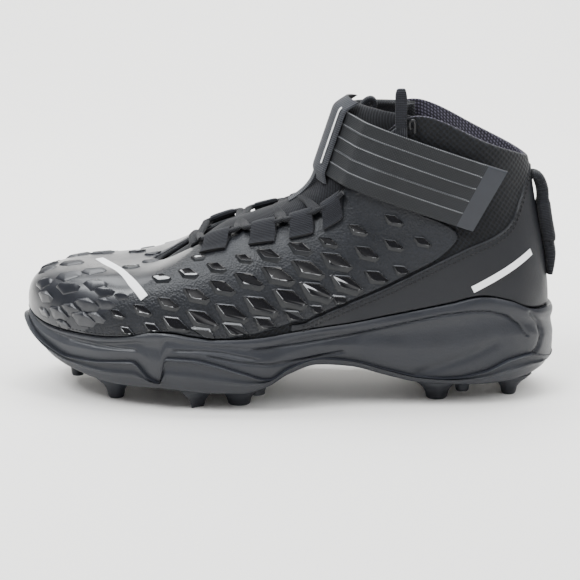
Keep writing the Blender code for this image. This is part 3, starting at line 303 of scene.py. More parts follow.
# The small pulls of folded ribbon on the collar and on the tongue: their width and thickness, the row of the
# collar's, their heights, where the collar's fold ends inside, and how far they clear what is under them
RIBBON_WIDTH = 0.0070
RIBBON = 0.0014
COLLAR_PULL_ROW = 9.95
COLLAR_PULL_HEIGHT = 0.0190
COLLAR_PULL_FOOT = 0.0030
TONGUE_PULL_HEIGHT = 0.0060
RIBBON_CLEARANCE = 0.0009
TONGUE_PULL_CLEARANCE = 0.0012


def table(rows, names):
    """The rows as arrays, one for each named column."""
    return {name: np.array([row[i] for row in rows], float) for i, name in enumerate(names)}


def unit(vectors):
    """The vectors at a length of 1."""
    return vectors / np.linalg.norm(vectors, axis=-1, keepdims=True)


def lengths_along(points):
    """The distance along a line of points from its start to each of them."""
    return np.concatenate([[0], np.cumsum(np.linalg.norm(np.diff(points, axis=0), axis=1))])


def ease(value, start, stop):
    """A share that is 0 at start and 1 at stop, and doesn't go past them. stop may be the lower one."""
    return np.clip((value - start) / (stop - start), 0, 1)


def rounded(share):
    """The height of a quarter circle over a share of its run."""
    return np.sqrt(1 - (1 - share) ** 2)


def station_of(u):
    """The row of the shape table for columns of the loop from 0 to LOOP_ROWS."""
    return np.minimum(u, LOOP_ROWS - u)


def along_x(share):
    """World X of a share of the length, with the toe at 0 and the heel at 1."""
    return (share - 0.5) * LENGTH


def side_y(share):
    return share * BALL_WIDTH / 2


def rise_z(share):
    """World Z of a height on the upper."""
    return STUD_HEIGHT + DATUM_HEIGHT + share * UPPER_RISE


def smooth_table(where, xs, ys):
    """A smooth curve through a table that never overshoots it, after Fritsch and Carlson."""
    xs, ys, where = np.asarray(xs, float), np.asarray(ys, float), np.asarray(where, float)
    steps = np.diff(xs)
    slopes = np.diff(ys) / steps
    tangents = np.concatenate([[slopes[0]], np.zeros(len(xs) - 2), [slopes[-1]]])
    same = slopes[:-1] * slopes[1:] > 0
    left, right = slopes[:-1][same], slopes[1:][same]
    tangents[1:-1][same] = 2 * left * right / (left + right)
    i = np.clip(np.searchsorted(xs, where) - 1, 0, len(xs) - 2)
    t = np.clip((where - xs[i]) / steps[i], 0, 1)
    return (
        ys[i] * (1 + 2 * t) * (1 - t) ** 2
        + tangents[i] * steps[i] * t * (1 - t) ** 2
        + ys[i + 1] * t * t * (3 - 2 * t)
        + tangents[i + 1] * steps[i] * t * t * (t - 1)
    )


def closed_spline(values):
    """A function of the row number for a smooth closed curve through the values."""
    values = np.asarray(values, float)
    n = len(values)
    system = np.zeros((n, n))
    for i in range(n):
        system[i, i] = 4 / 6
        system[i, (i + 1) % n] += 1 / 6
        system[i, (i - 1) % n] += 1 / 6
    control = np.linalg.solve(system, values)

    def at(u):
        u = np.asarray(u, float)
        i = np.floor(u).astype(int)
        t = u - i
        weights = (
            (1 - t) ** 3 / 6,
            (3 * t**3 - 6 * t * t + 4) / 6,
            (-3 * t**3 + 3 * t * t + 3 * t + 1) / 6,
            t**3 / 6,
        )
        return sum(w * control[(i + k - 1) % n] for k, w in enumerate(weights))

    return at


def loop_splines():
    """One closed curve for each column of the shape table, from the toe round the outer side."""
    shape = table(SHAPE, SHAPE_COLUMNS)
    back = slice(ROWS - 2, 0, -1)
    splines = {}
    for name in ("along", "wall", "top_along", "top_rise", "bulge", "lift", "spread", "drop"):
        splines[name] = closed_spline(np.concatenate([shape[name], shape[name][back]]))
    for name, outer, inner in (("side", "outer", "inner"), ("top_side", "top_outer", "top_inner")):
        splines[name] = closed_spline(np.concatenate([shape[outer], shape[inner][back]]))
    return splines


SPLINES = loop_splines()
SOLE_TABLE = table(SOLE, SOLE_COLUMNS)
BED_TABLE = table(BED, BED_COLUMNS)


def sole_z(name, x):
    """Height of a line of the sole at world X."""
    share = np.clip(np.asarray(x) / LENGTH + 0.5, 0, 1)
    source = BED_TABLE if name == "bed" else SOLE_TABLE
    return STUD_HEIGHT + SOLE_HEIGHT * smooth_table(share, source["along"], source[name])


def outline(u):
    """Points of the sole's outline in plan, as arrays x and y."""
    return along_x(SPLINES["along"](u)), side_y(SPLINES["side"](u))


def outward(u):
    """Unit directions in plan that point away from the shoe, square to the outline."""
    step = 0.02
    x0, y0 = outline(np.asarray(u) - step)
    x1, y1 = outline(np.asarray(u) + step)
    return unit(np.stack([y1 - y0, x0 - x1], -1))


def inset_outline(u, inset):
    """The outline moved inwards, as an array of x and y."""
    x, y = outline(u)
    return np.stack([x, y], -1) - outward(u) * np.asarray(inset)[..., None]


def rim_inset(u):
    return SPLINES["wall"](u) * RIM_WALL


def upper_surface(u, v):
    """The upper's outer face. u is the row of the loop. v is 0 at the footbed and 1 at the top line."""
    u, v = np.broadcast_arrays(np.asarray(u, float), np.asarray(v, float))
    base = inset_outline(u, rim_inset(u) + GAP)
    out = outward(u)
    foot = np.stack([base[..., 0], base[..., 1], sole_z("bed", base[..., 0]) + GAP], -1)
    along, side, rise = (SPLINES[name](u) for name in ("top_along", "top_side", "top_rise"))
    top = np.stack([along_x(along), side_y(side), rise_z(rise)], -1)
    sizes = {name: SPLINES[name](u) * UPPER_RISE for name in ("bulge", "lift", "spread", "drop")}
    low = foot.copy()
    low[..., :2] += out * sizes["bulge"][..., None]
    low[..., 2] += sizes["lift"]
    high = top.copy()
    high[..., :2] += out * sizes["spread"][..., None]
    high[..., 2] -= sizes["drop"]
    v = v[..., None]
    return (1 - v) ** 3 * foot + 3 * v * (1 - v) ** 2 * low + 3 * v * v * (1 - v) * high + v**3 * top


def upper_normal(u, v):
    """Unit normals that point out of the upper."""
    u, v = np.broadcast_arrays(np.asarray(u, float), np.asarray(v, float))
    step = 0.01
    low, high = np.clip(v - step, 0, 1), np.clip(v + step, 0, 1)
    round_about = upper_surface(u + step, v) - upper_surface(u - step, v)
    climb = upper_surface(u, high) - upper_surface(u, low)
    return unit(np.cross(round_about, climb))


def on_upper(u, v, height):
    """Points at a height over the upper's outer face. A negative height lies inside."""
    return upper_surface(u, v) + upper_normal(u, v) * np.asarray(height)[..., None]


def crossing(u, height_at):
    """For each column, the v at which it first climbs over a line. height_at gives the line's Z from X."""
    climb = np.linspace(0, 1, 201)
    found = []
    for one in np.atleast_1d(u):
        points = upper_surface(np.full_like(climb, one), climb)
        over = points[:, 2] - height_at(points[:, 0])
        above = np.nonzero(over > 0)[0]
        if not len(above):
            found.append(1.0)
            continue
        i = max(above[0], 1)
        span = over[i] - over[i - 1]
        part = -over[i - 1] / span if span > 0 else 0
        found.append(climb[i - 1] + (climb[i] - climb[i - 1]) * part)
    return np.clip(np.array(found), 0, 1)


def crossing_heights(u, heights):
    """For each column, the v at which it reaches its own height."""
    return np.concatenate([crossing(one, lambda _, level=z: level) for one, z in zip(u, heights)])


def rim_v(u):
    """For each column, the v at which the upper leaves the midsole's rim."""
    x, _ = outline(u)
    return crossing_heights(u, sole_z("rim", x))


def side_line(rows):
    """Height over X of a line that is drawn on the side of the upper."""
    along, rise = np.array(rows).T

    def height_at(x):
        return rise_z(smooth_table(np.clip(x / LENGTH + 0.5, along[0], along[-1]), along, rise))

    return height_at


def spine_points(u):
    """Where each column meets the line along the middle of the sole, in plan."""
    x, y = outline(u)
    _, opposite = outline(-np.asarray(u))
    low, high = along_x(SPINE_ENDS[0]), along_x(SPINE_ENDS[1])
    clipped = np.clip(x, low, high)
    middle = (y + opposite) / 2
    ends = [np.interp(end, x[: len(x) // 2 + 1], middle[: len(x) // 2 + 1]) for end in (low, high)]
    middle = np.where(x < low, ends[0], np.where(x > high, ends[1], middle))
    return np.stack([clipped, middle], -1)


def wrap_share(u):
    """How far up the side the outsole's wrap reaches, as a share of the side's height."""
    x, _ = outline(u)
    low = sole_z("edge", x) + PLATE + GAP
    return np.clip((sole_z("wrap", x) - low) / (sole_z("rim", x) - low), 0.04, 0.90)


def side_ring(u, share, out):
    """Points of the sole's side at a share of its height, moved out from the outline."""
    x, y = outline(u)
    low = sole_z("edge", x) + PLATE + GAP
    plan = np.stack([x, y], -1) + outward(u) * np.broadcast_to(out, x.shape)[:, None]
    return np.column_stack([plan, low + share * (sole_z("rim", x) - low)])


def edge_lean(inset):
    """How far the underside follows its edge's height, at an inset given as a share of half of BALL_WIDTH."""
    insets, leans = zip(*UNDERSIDE)
    return np.interp(inset, (0, *insets, 1), (1, *leans, 0))


def underside_z(x, y):
    """Height of the plate's underside at a point in plan."""
    u = np.arange(0, LOOP_ROWS, 0.25)
    edge_x, edge_y = outline(u)
    side = edge_y > 0 if y > 0 else edge_y <= 0
    order = np.argsort(edge_x[side])
    inset = abs(np.interp(x, edge_x[side][order], edge_y[side][order]) - y) / (BALL_WIDTH / 2)
    plate = float(sole_z("plate", x))
    return plate + edge_lean(inset) * (float(sole_z("edge", x)) - plate)


def overlay_top(u):
    """The v of the heel overlay's upper edge."""
    high = np.minimum(OVERLAY_TOP, crossing(u, side_line(HEEL_OVERLAY_LINE)))
    return np.maximum(high, above_rim(u) + OVERLAY_LEAST)


def above_rim(u):
    """For each column, the v of the lowest edge of a layer that clears the midsole's rim."""
    x, _ = outline(u)
    return crossing_heights(u, sole_z("rim", x) + 2.5 * GAP)


def tongue_crest(row):
    """The middle of the tongue's outer face at rows of the shape table."""
    shape = table(TONGUE_SHAPE, TONGUE_COLUMNS)
    side = np.interp(row, (shape["row"][0], shape["row"][-1]), TONGUE_CENTRE)
    along = smooth_table(row, shape["row"], shape["along"])
    rise = smooth_table(row, shape["row"], shape["rise"])
    return np.stack([along_x(along), side_y(side), rise_z(rise)], -1)


def tongue_surface(row, share):
    """The tongue's outer face. share crosses it from its outer edge at -1 to its inner one at 1, and beyond
    them it is tucked in."""
    row, share = np.broadcast_arrays(np.asarray(row, float), np.asarray(share, float))
    u = np.where(share < 0, row, -row)
    size = np.abs(share)
    depth = -(UPPER_WALL + TONGUE_GAP + TONGUE_ROOT_GAP * ease(row, 3.5, 2.0))
    edge = on_upper(u, 1 - np.clip(size - 1, 0, 1) * 4 * TONGUE_TUCK, depth)
    turn = (1 - np.clip(size, 0, 1)) * math.pi / 2
    climb = np.sin(turn)
    cross = TONGUE_FLAT * np.sin(turn) + (1 - TONGUE_FLAT) * (1 - np.cos(turn))
    weight = np.stack([climb, cross, climb], -1)
    return edge + (tongue_crest(row) - edge) * weight


def tongue_normal(row, share):
    step = 0.02
    across = tongue_surface(row, share + step) - tongue_surface(row, share - step)
    climb = tongue_surface(row + step, share) - tongue_surface(row - step, share)
    return unit(np.cross(climb, across))


def strap_frame():
    """A point on the strap's front, the direction that it runs back in, and the one across its width."""
    slope = np.array([math.cos(STRAP_LEAN), 0, -math.sin(STRAP_LEAN)])
    across = np.array([math.sin(STRAP_LEAN), 0, math.cos(STRAP_LEAN)])
    front = np.array([along_x(STRAP_FRONT[0]), 0, rise_z(STRAP_FRONT[1])])
    return front, slope, across


def in_strap_frame(points):
    """Reach along the slope, Y and height across the strap's width, for each point."""
    front, slope, across = strap_frame()
    offset = np.asarray(points) - front
    return np.stack([offset @ slope, offset[..., 1], offset @ across], -1)


def from_strap_frame(reach, y, height):
    front, slope, across = strap_frame()
    return front + slope * reach + np.array([0, 1, 0]) * y + across * height


def convex_outline(points):
    """The convex outline of points in a plane, anticlockwise."""
    ordered = sorted(map(tuple, points))
    halves = []
    for run in (ordered, ordered[::-1]):
        half = []
        for point in run:
            while len(half) > 1:
                (ax, ay), (bx, by) = half[-2], half[-1]
                if (bx - ax) * (point[1] - ay) - (by - ay) * (point[0] - ax) > 0:
                    break
                half.pop()
            half.append(point)
        halves += half[:-1]
    return np.array(halves)


def taut_line(clearance):
    """Where a taut band lies round the ankle and the tongue in its own plane, as reach and Y."""
    u = np.arange(8, LOOP_ROWS - 8 + 0.1, 0.25)
    v = np.linspace(0.4, 1, 19)
    layer = np.full((len(u), len(v)), 2 * SKIN_HEIGHT + OVERLAY)
    wide_u, wide_v = np.meshgrid(u, v, indexing="ij")
    tongue = tongue_surface(np.linspace(7, 10.5, 29)[:, None], np.linspace(-1, 1, 25)[None, :])
    obstacles = np.vstack([on_upper(wide_u, wide_v, layer).reshape(-1, 3), tongue.reshape(-1, 3)])
    local = in_strap_frame(obstacles)
    near = local[np.abs(local[:, 2]) < STRAP_WIDTH / 2 + STRAP_MARGIN]
    angles = np.linspace(0, 2 * math.pi, 24, endpoint=False)
    ring = clearance * np.column_stack([np.cos(angles), np.sin(angles)])
    return convex_outline((near[:, None, :2] + ring[None]).reshape(-1, 2))


def between_ends(line, inner_end, outer_end, count):
    """Evenly spaced points of a line of reach and Y, cut at its own reach on the inner and the outer side."""
    dense = []
    for a, b in zip(line, np.roll(line, -1, axis=0)):
        dense += [a + (b - a) * t for t in np.linspace(0, 1, 12, endpoint=False)]
    dense = np.array(dense)
    keep = np.where(dense[:, 1] > 0, dense[:, 0] < inner_end, dense[:, 0] < outer_end)
    first = int(np.argmax(~keep))
    dense = np.roll(dense, -first, axis=0)
    dense = dense[np.roll(keep, -first)]
    run = lengths_along(dense)
    where = np.linspace(0, run[-1], count)
    return np.column_stack([np.interp(where, run, dense[:, k]) for k in (0, 1)])


def below_throat(u, reach):
    """The v of the column's points at given lengths down the side from the throat's edge."""
    climb = np.linspace(0.5, 1, 101)
    side = upper_surface(np.full(101, u), climb)
    run = lengths_along(side)
    return np.interp(run[-1] - reach, run, climb)


def throat_frame(u):
    """Where a loop is folded: its point on the skin, and the directions down the side, out of the skin and
    along the edge."""
    fold = below_throat(u, LOOP_SEAT)
    point = on_upper(u, fold, SKIN_HEIGHT + SKIN)
    lower = on_upper(u, fold - 0.05, SKIN_HEIGHT + SKIN)
    down = unit(lower - point)
    along = upper_surface(u + 0.05, 1.0) - upper_surface(u - 0.05, 1.0)
    along = unit(along - down * (along @ down))
    out = np.cross(along, -down)
    out = out * np.sign(out @ upper_normal(u, 0.95))
    return point, down, out, along


def lace_seat(u):
    """Middle of the lace where it runs through a loop."""
    point, down, out, _ = throat_frame(u)
    return point - down * LACE_DROP + out * (LOOP_CLEARANCE + (WEBBING + LOOP_BORE * FOLD_FLAT) / 2)


def row_speed(row):
    """Metres along the throat's edge for each row of the shape table."""
    return np.linalg.norm(upper_surface(row + 0.05, 1.0) - upper_surface(row - 0.05, 1.0)) / 0.1


def lace_run(row):
    """How many rows of the shape table the lace runs straight on either side of a loop's middle."""
    return (LOOP_WIDTH / 2 + LACE_RUN) / row_speed(row)


def lace_in_loop(side, row):
    """The lace through a loop, from its toe end. side is 1 for the outer loops and -1 for the inner ones."""
    return [lace_seat(side * (row + part * lace_run(row))) for part in (-1, 0, 1)]


def lace_route(start):
    """A lace that climbs the throat in a zigzag. start is 1 for the outer side and -1 for the inner one."""
    points = []
    side = start
    for row, following in zip(LACE_LOOPS, (*LACE_LOOPS[1:], None)):
        points += lace_in_loop(side, row)
        if following is None:
            return points
        leave = points[-1]
        enter = lace_in_loop(-side, following)[0]
        low, high = row + lace_run(row), following - lace_run(following)
        for part in LACE_STEPS:
            chord = leave * (1 - part) + enter * part
            station = low + (high - low) * part
            share = np.array((2 * part - 1) * side)
            surface = tongue_surface(station, share)
            normal = tongue_normal(station, share)
            taut = float((chord - surface) @ normal) * LACE_TAUT
            height = max(LACE / 2 + LACE_CLEARANCE * 0.5, taut)
            points.append(surface + normal * height)
        side = -side
    return points


# Pods of the vamp skin on the outer side: row and climb of the middle, and size as a share of POD_LENGTH
POD_LENGTH = 0.0218
POD_WIDTH = 0.0118
PODS = (
    (8.42, 0.635, 0.60), (7.60, 0.630, 0.58), (6.98, 0.635, 0.72), (6.36, 0.650, 0.72),
    (5.88, 0.660, 0.52), (5.38, 0.620, 0.60), (4.80, 0.750, 0.45), (9.42, 0.580, 0.60),
    (9.28, 0.465, 0.60), (9.98, 0.445, 0.55), (8.58, 0.475, 0.76), (7.80, 0.480, 0.95),
    (7.20, 0.465, 1.00), (6.64, 0.480, 1.00), (6.12, 0.490, 0.90), (5.66, 0.470, 0.80),
    (5.22, 0.430, 0.80), (9.36, 0.335, 0.60), (8.74, 0.330, 0.76), (8.04, 0.325, 1.00),
    (7.42, 0.310, 1.05), (6.94, 0.300, 1.05), (6.44, 0.315, 1.05), (5.96, 0.305, 1.00),
    (5.48, 0.280, 1.00), (5.02, 0.250, 0.88), (7.96, 0.230, 0.70), (7.50, 0.200, 0.60),
    (7.08, 0.185, 0.74), (6.60, 0.200, 0.86), (6.14, 0.195, 0.98), (5.62, 0.185, 0.98),
    (4.72, 0.385, 0.68), (4.60, 0.225, 0.62), (4.24, 0.345, 0.62), (4.10, 0.200, 0.50),
    (3.74, 0.310, 0.48), (4.16, 0.610, 0.60), (4.80, 0.610, 0.62), (1.80, 0.840, 0.50),
)
TOE_PODS = (
    (0.22, 0.440, 0.58), (0.12, 0.615, 0.71), (1.38, 0.675, 0.71), (1.30, 0.530, 0.78),
    (1.06, 0.355, 0.68), (1.90, 0.430, 0.78), (2.38, 0.540, 0.74), (1.60, 0.265, 0.64),
    (2.32, 0.380, 0.81), (2.86, 0.340, 0.78), (2.30, 0.200, 0.75), (2.58, 0.265, 0.71),
    (1.98, 0.245, 0.53), (3.00, 0.230, 0.82), (3.28, 0.260, 0.61), (3.26, 0.380, 0.65),
    (2.90, 0.485, 0.64), (1.80, 0.150, 0.49), (3.50, 0.455, 0.44), (1.56, 0.960, 0.53),
    (3.34, 0.615, 0.53), (2.54, 0.140, 0.53),
)
POD_LEAN = math.radians(24)
TOE_LEAN = math.radians(12)
POD_SHAPE = ((-1.0, 0.05), (-0.80, 0.42), (-0.05, 0.88), (1.0, 0.0), (0.80, -0.75), (-0.28, -1.10))

# Rings of a pod: scale along and across, shift along and across, height at its top and at its bottom in
# millimetres, and how far the ring is drawn into a four-pointed star. The last ring of a dark pod is its flat
# window, which leans towards WINDOW_LOOK over the horizon, but by WINDOW_TILT at most.
DARK_RINGS = (
    (1.08, 1.08, 0.00, 0.00, -0.60, -0.60, 0),
    (1.00, 1.00, 0.00, 0.00, 0.40, 0.05, 0),
    (0.96, 0.94, 0.00, 0.00, 0.95, 0.25, 0),
    (0.96, 0.66, 0.02, 0.16, 1.65, 1.20, 1),
    (0.89, 0.52, 0.02, 0.14, 0.80, 0.80, 1),
)
TOE_RINGS = (
    (1.08, 1.08, 0.00, 0.00, -0.60, -0.60, 0),
    (1.00, 1.00, 0.00, 0.00, 0.35, 0.10, 0),
    (0.93, 0.90, 0.00, 0.02, 1.20, 0.45, 0),
    (0.66, 0.14, 0.00, 0.32, 1.90, 1.70, 0),
)
WINDOW_LOOK = math.radians(24)
WINDOW_TILT = math.radians(11)

# Clear ground kept round the toe bar, the share of a pod's width that counts beside it, the least distance
# between the middles of two pods, and how far the ground is looked for beyond a pod's own outline
BAR_MARGIN = 0.0032
POD_BY_BAR = 0.38
POD_SPACING = 0.0070
POD_CLEAR = 1.16

# Plain light bars: row and climb of both ends
TOE_BAR = ((-0.30, 0.752), (4.14, 0.427))
HEEL_BAR = ((11.06, 0.245), (13.10, 0.470))
TOE_BAR_WIDTH = 0.0050
HEEL_BAR_WIDTH = 0.0040
BAR_THICKNESS = 0.0006

# The skin: its columns and points, how wide its rounded edges and the overlay's are, the row at which its toe
# part ends with what each climb adds to it, and the row at which its ankle lobe starts
SKIN_GRID = (430, 120)
SKIN_EDGE = 0.0008
OVERLAY_EDGE = 0.0010
TOE_PART = (2.9, 1.6)
LOBE_ROW = 8.6


def new_object(name, mesh, finishes):
    obj = bpy.data.objects.new(name, mesh)
    for finish in finishes:
        mesh.materials.append(finish)
    bpy.context.scene.collection.objects.link(obj)
    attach(obj, "root")
    return obj


def shade(mesh, angle):
    """Smooth shading, with edges kept sharp where faces meet at more than the angle in degrees."""
    mesh.polygons.foreach_set("use_smooth", [True] * len(mesh.polygons))
    mesh.set_sharp_from_angle(angle=math.radians(angle))


def finished(made, name, finishes, angle):
    """The object of an edited mesh."""
    bmesh.ops.recalc_face_normals(made, faces=made.faces)
    mesh = bpy.data.meshes.new(name)
    made.to_mesh(mesh)
    made.free()
    shade(mesh, angle)
    new_object(name, mesh, finishes)


def loft(name, profiles, finishes, closed=False, loop=True, faces_of=None, angle=38):
    """A surface through rows of points. profiles[i][j] is point j of profile i. loop joins each profile's
    ends, closed joins the last profile to the first, and faces_of(i, j) picks each face's material. Rows of
    loops that don't close are capped at both ends."""
    grid = np.asarray(profiles, float)
    n, m = grid.shape[:2]
    rows, cols = (n if closed else n - 1), (m if loop else m - 1)
    i, j = np.meshgrid(np.arange(rows), np.arange(cols), indexing="ij")
    i, j = i.ravel(), j.ravel()
    i2, j2 = (i + 1) % n, (j + 1) % m
    faces = [tuple(q) for q in np.column_stack([i * m + j, i2 * m + j, i2 * m + j2, i * m + j2]).tolist()]
    picks = [0] * len(faces) if faces_of is None else [int(faces_of(a, b)) for a, b in zip(i, j)]
    wide = np.concatenate([grid, grid[:1]]) if closed else grid
    along = np.concatenate([[0], np.cumsum(np.linalg.norm(np.diff(wide, axis=0), axis=2).mean(1))])
    tall = np.concatenate([grid, grid[:, :1]], 1) if loop else grid
    steps = np.linalg.norm(np.diff(tall, axis=1), axis=2)
    across = np.concatenate([np.zeros((n, 1)), np.cumsum(steps, 1)], 1)
    u = np.column_stack([along[i], along[i + 1], along[i + 1], along[i]])
    v = np.column_stack([across[i, j], across[i2, j], across[i2, j + 1], across[i, j + 1]])
    uv = np.stack([u, v], -1).reshape(-1, 2)
    if loop and not closed:
        faces += [tuple(range(m))[::-1], tuple(range((n - 1) * m, n * m))]
        picks += [picks[0], picks[-1]]
        uv = np.concatenate([uv, np.zeros((2 * m, 2))])
    mesh = bpy.data.meshes.new(name)
    mesh.from_pydata(grid.reshape(-1, 3).tolist(), [], faces)
    mesh.uv_layers.new(name="UVMap").data.foreach_set("uv", uv.ravel())
    mesh.polygons.foreach_set("material_index", picks)
    made = bmesh.new()
    made.from_mesh(mesh)
    bmesh.ops.remove_doubles(made, verts=made.verts, dist=1e-6)
    bmesh.ops.recalc_face_normals(made, faces=made.faces)
    made.to_mesh(mesh)
    made.free()
    shade(mesh, angle)
    return new_object(name, mesh, finishes)


def smooth_path(points, count):
    """Evenly spaced points of a smooth open curve through the points."""
    points = np.asarray(points, float)
    padded = np.vstack([2 * points[0] - points[1], points, 2 * points[-1] - points[-2]])
    where = np.linspace(0, len(points) - 1, count * 4)
    i = np.minimum(where.astype(int), len(points) - 2)
    t = (where - i)[:, None]
    a, b, c, d = padded[i], padded[i + 1], padded[i + 2], padded[i + 3]
    dense = 0.5 * (2 * b + (c - a) * t + (2 * a - 5 * b + 4 * c - d) * t * t + (3 * b - a - 3 * c + d) * t**3)
    run = lengths_along(dense)
    even = np.linspace(0, run[-1], count)
    return np.column_stack([np.interp(even, run, dense[:, k]) for k in range(points.shape[1])])


def sweep(path, wide, thick, side, round_off=2.0, segments=16):
    """Profiles of a band or cord along a path. side gives the direction of its width at each point, and
    round_off is 2 for an oval and more for a flatter section."""
    path = np.asarray(path, float)
    ahead = unit(np.gradient(path, axis=0))
    side = np.broadcast_to(np.asarray(side, float), path.shape)
    side = unit(side - ahead * np.sum(side * ahead, axis=1, keepdims=True))
    up = np.cross(ahead, side)
    turn = 2 * math.pi * np.arange(segments) / segments
    c, s = (np.sign(part) * np.abs(part) ** (2 / round_off) for part in (np.cos(turn), np.sin(turn)))
    wide, thick = (np.broadcast_to(size, len(path))[:, None, None] for size in (wide, thick))
    beside, above = side[:, None] * c[None, :, None], up[:, None] * s[None, :, None]
    return path[:, None] + beside * wide / 2 + above * thick / 2


def joined(name, objects):
    """One object from several, which keep their materials."""
    bpy.ops.object.select_all(action="DESELECT")
    for obj in objects:
        obj.select_set(True)
    bpy.context.view_layer.objects.active = objects[0]
    bpy.ops.object.join()
    objects[0].name = name
    return objects[0]


# Materials: the scale of loose fibres, the scale at which one wave fills one unit of a wave texture, how far
# the roughness varies either way, and X where the painted sheen starts to turn the foam lighter and where it
# is full
FUZZ = 2600
WAVE_PER_UNIT = 0.3142
WEAR = 0.10
PAINTED_SHEEN_X = (-0.01, -0.12)
DARK_THREAD = (0.002, 0.002, 0.003)
LIGHT_THREAD = (0.012, 0.013, 0.018)
DIAGONAL = math.radians(45)


def shader_tree(name, colour, roughness, sheen=0.0, coat=0.0, coat_roughness=0.1, specular=0.3):
    """A new material, its tree and its shader."""
    made = bpy.data.materials.new(name)
    made.use_nodes = True
    shader = made.node_tree.nodes["Principled BSDF"]
    settings = {
        "Base Color": (*colour, 1),
        "Roughness": roughness,
        "Specular IOR Level": specular,
        "Sheen Weight": sheen,
        "Sheen Roughness": 0.5,
        "Coat Weight": coat,
        "Coat Roughness": coat_roughness,
    }
    for key, value in settings.items():
        shader.inputs[key].default_value = value
    return made, made.node_tree, shader


def node(tree, kind, inputs, **settings):
    """The outputs of a new node. Each input is a number, or a socket to join it to."""
    made = tree.nodes.new(kind)
    for key, value in settings.items():
        setattr(made, key, value)
    for key, value in inputs.items():
        if isinstance(value, bpy.types.NodeSocket):
            tree.links.new(value, made.inputs[key])
        else:
            made.inputs[key].default_value = value
    return made.outputs


def mapped(tree, source="Object", scale=(1, 1, 1), turn=0.0):
    place = node(tree, "ShaderNodeTexCoord", {})[source]
    inputs = {"Vector": place, "Scale": scale, "Rotation": (0, 0, turn)}
    return node(tree, "ShaderNodeMapping", inputs)["Vector"]


def noise(tree, vector, scale, detail=2.0, rough=0.5):
    inputs = {"Vector": vector, "Scale": scale, "Detail": detail, "Roughness": rough}
    return node(tree, "ShaderNodeTexNoise", inputs)["Fac"]


def maths(tree, operation, a, b):
    return node(tree, "ShaderNodeMath", {0: a, 1: b}, operation=operation)[0]


def weighted(tree, a, a_weight, b, b_weight):
    """The sum of two values, each times its weight."""
    return maths(tree, "ADD", maths(tree, "MULTIPLY", a, a_weight), maths(tree, "MULTIPLY", b, b_weight))


def remapped(tree, value, low, high, to_low, to_high):
    inputs = {"Value": value, "From Min": low, "From Max": high, "To Min": to_low, "To Max": to_high}
    return node(tree, "ShaderNodeMapRange", inputs)["Result"]


def ramp(tree, fac, stops):
    made = tree.nodes.new("ShaderNodeValToRGB")
    tree.links.new(fac, made.inputs["Fac"])
    elements = made.color_ramp.elements
    while len(elements) < len(stops):
        elements.new(0.5)
    for element, (position, colour) in zip(elements, stops):
        element.position = position
        element.color = (*colour, 1)
    return made.outputs["Color"]


def bumped(tree, shader, heights):
    """Adds bumps to a shader. heights is a list of (height socket, distance in metres, strength)."""
    link = {}
    for height, distance, strength in heights:
        inputs = {"Height": height, "Distance": distance, "Strength": strength, **link}
        link = {"Normal": node(tree, "ShaderNodeBump", inputs)["Normal"]}
    tree.links.new(link["Normal"], shader.inputs["Normal"])


def tinted(tree, shader, fac, dark, light):
    tree.links.new(ramp(tree, fac, ((0.25, dark), (0.75, light))), shader.inputs["Base Color"])


def dark_and_light(colour, mottling):
    return [tuple(c * part for c in colour) for part in (1 - mottling, 1 + mottling)]


def moulded_finish(name, colour, roughness, grain, depth, coat=0.0, mottling=0.25, net=0.0, painted_toe_sheen=None):
    """Rubber, foam or coated skin: a fine grain, a slow unevenness of tone and roughness. net is how far the
    pores show as a dark net. painted_toe_sheen is the lighter colour that it turns into towards the toe, a
    painted sheen."""
    made, tree, shader = shader_tree(name, colour, roughness, coat=coat, coat_roughness=0.25, specular=0.35)
    place = mapped(tree)
    slow = noise(tree, place, 38, 4.0, 0.6)
    fine = noise(tree, place, grain, 2.0, 0.6)
    pores = node(tree, "ShaderNodeTexVoronoi", {"Vector": place, "Scale": grain * 0.55})["Distance"]
    dark, light = dark_and_light(colour, mottling)
    tone = weighted(tree, slow, 1 - net, pores, net)
    if painted_toe_sheen:
        # Painted sheen: the colour turns lighter towards the toe, standing in for the light that the front
        # end catches.
        ahead = node(tree, "ShaderNodeSeparateXYZ", {"Vector": place})["X"]
        share = weighted(tree, tone, 0.3, remapped(tree, ahead, *PAINTED_SHEEN_X, 0, 1), 0.7)
        near, far = dark_and_light(painted_toe_sheen, mottling)
        stops = ((0.0, dark), (0.3, light), (0.7, near), (1.0, far))
        tree.links.new(ramp(tree, share, stops), shader.inputs["Base Color"])
    else:
        tinted(tree, shader, tone, dark, light)
    rough = remapped(tree, slow, 0.3, 0.7, roughness - WEAR, roughness + WEAR)
    tree.links.new(rough, shader.inputs["Roughness"])
    deep_pores = (pores, depth + net * 0.0004, 0.35 + net)
    bumped(tree, shader, [(fine, depth, 0.5), deep_pores, (slow, 0.0004, 0.25)])
    return made


def gloss_finish(name, colour, roughness):
    made, tree, shader = shader_tree(name, colour, roughness, coat=0.6, coat_roughness=0.06, specular=0.6)
    bumped(tree, shader, [(noise(tree, mapped(tree), 160, 3.0), 0.0003, 0.22)])
    return made


def fuzz(tree):
    """The bump of a cloth's loose fibres."""
    return noise(tree, mapped(tree), FUZZ, 2.0, 0.7), 0.00006, 0.5


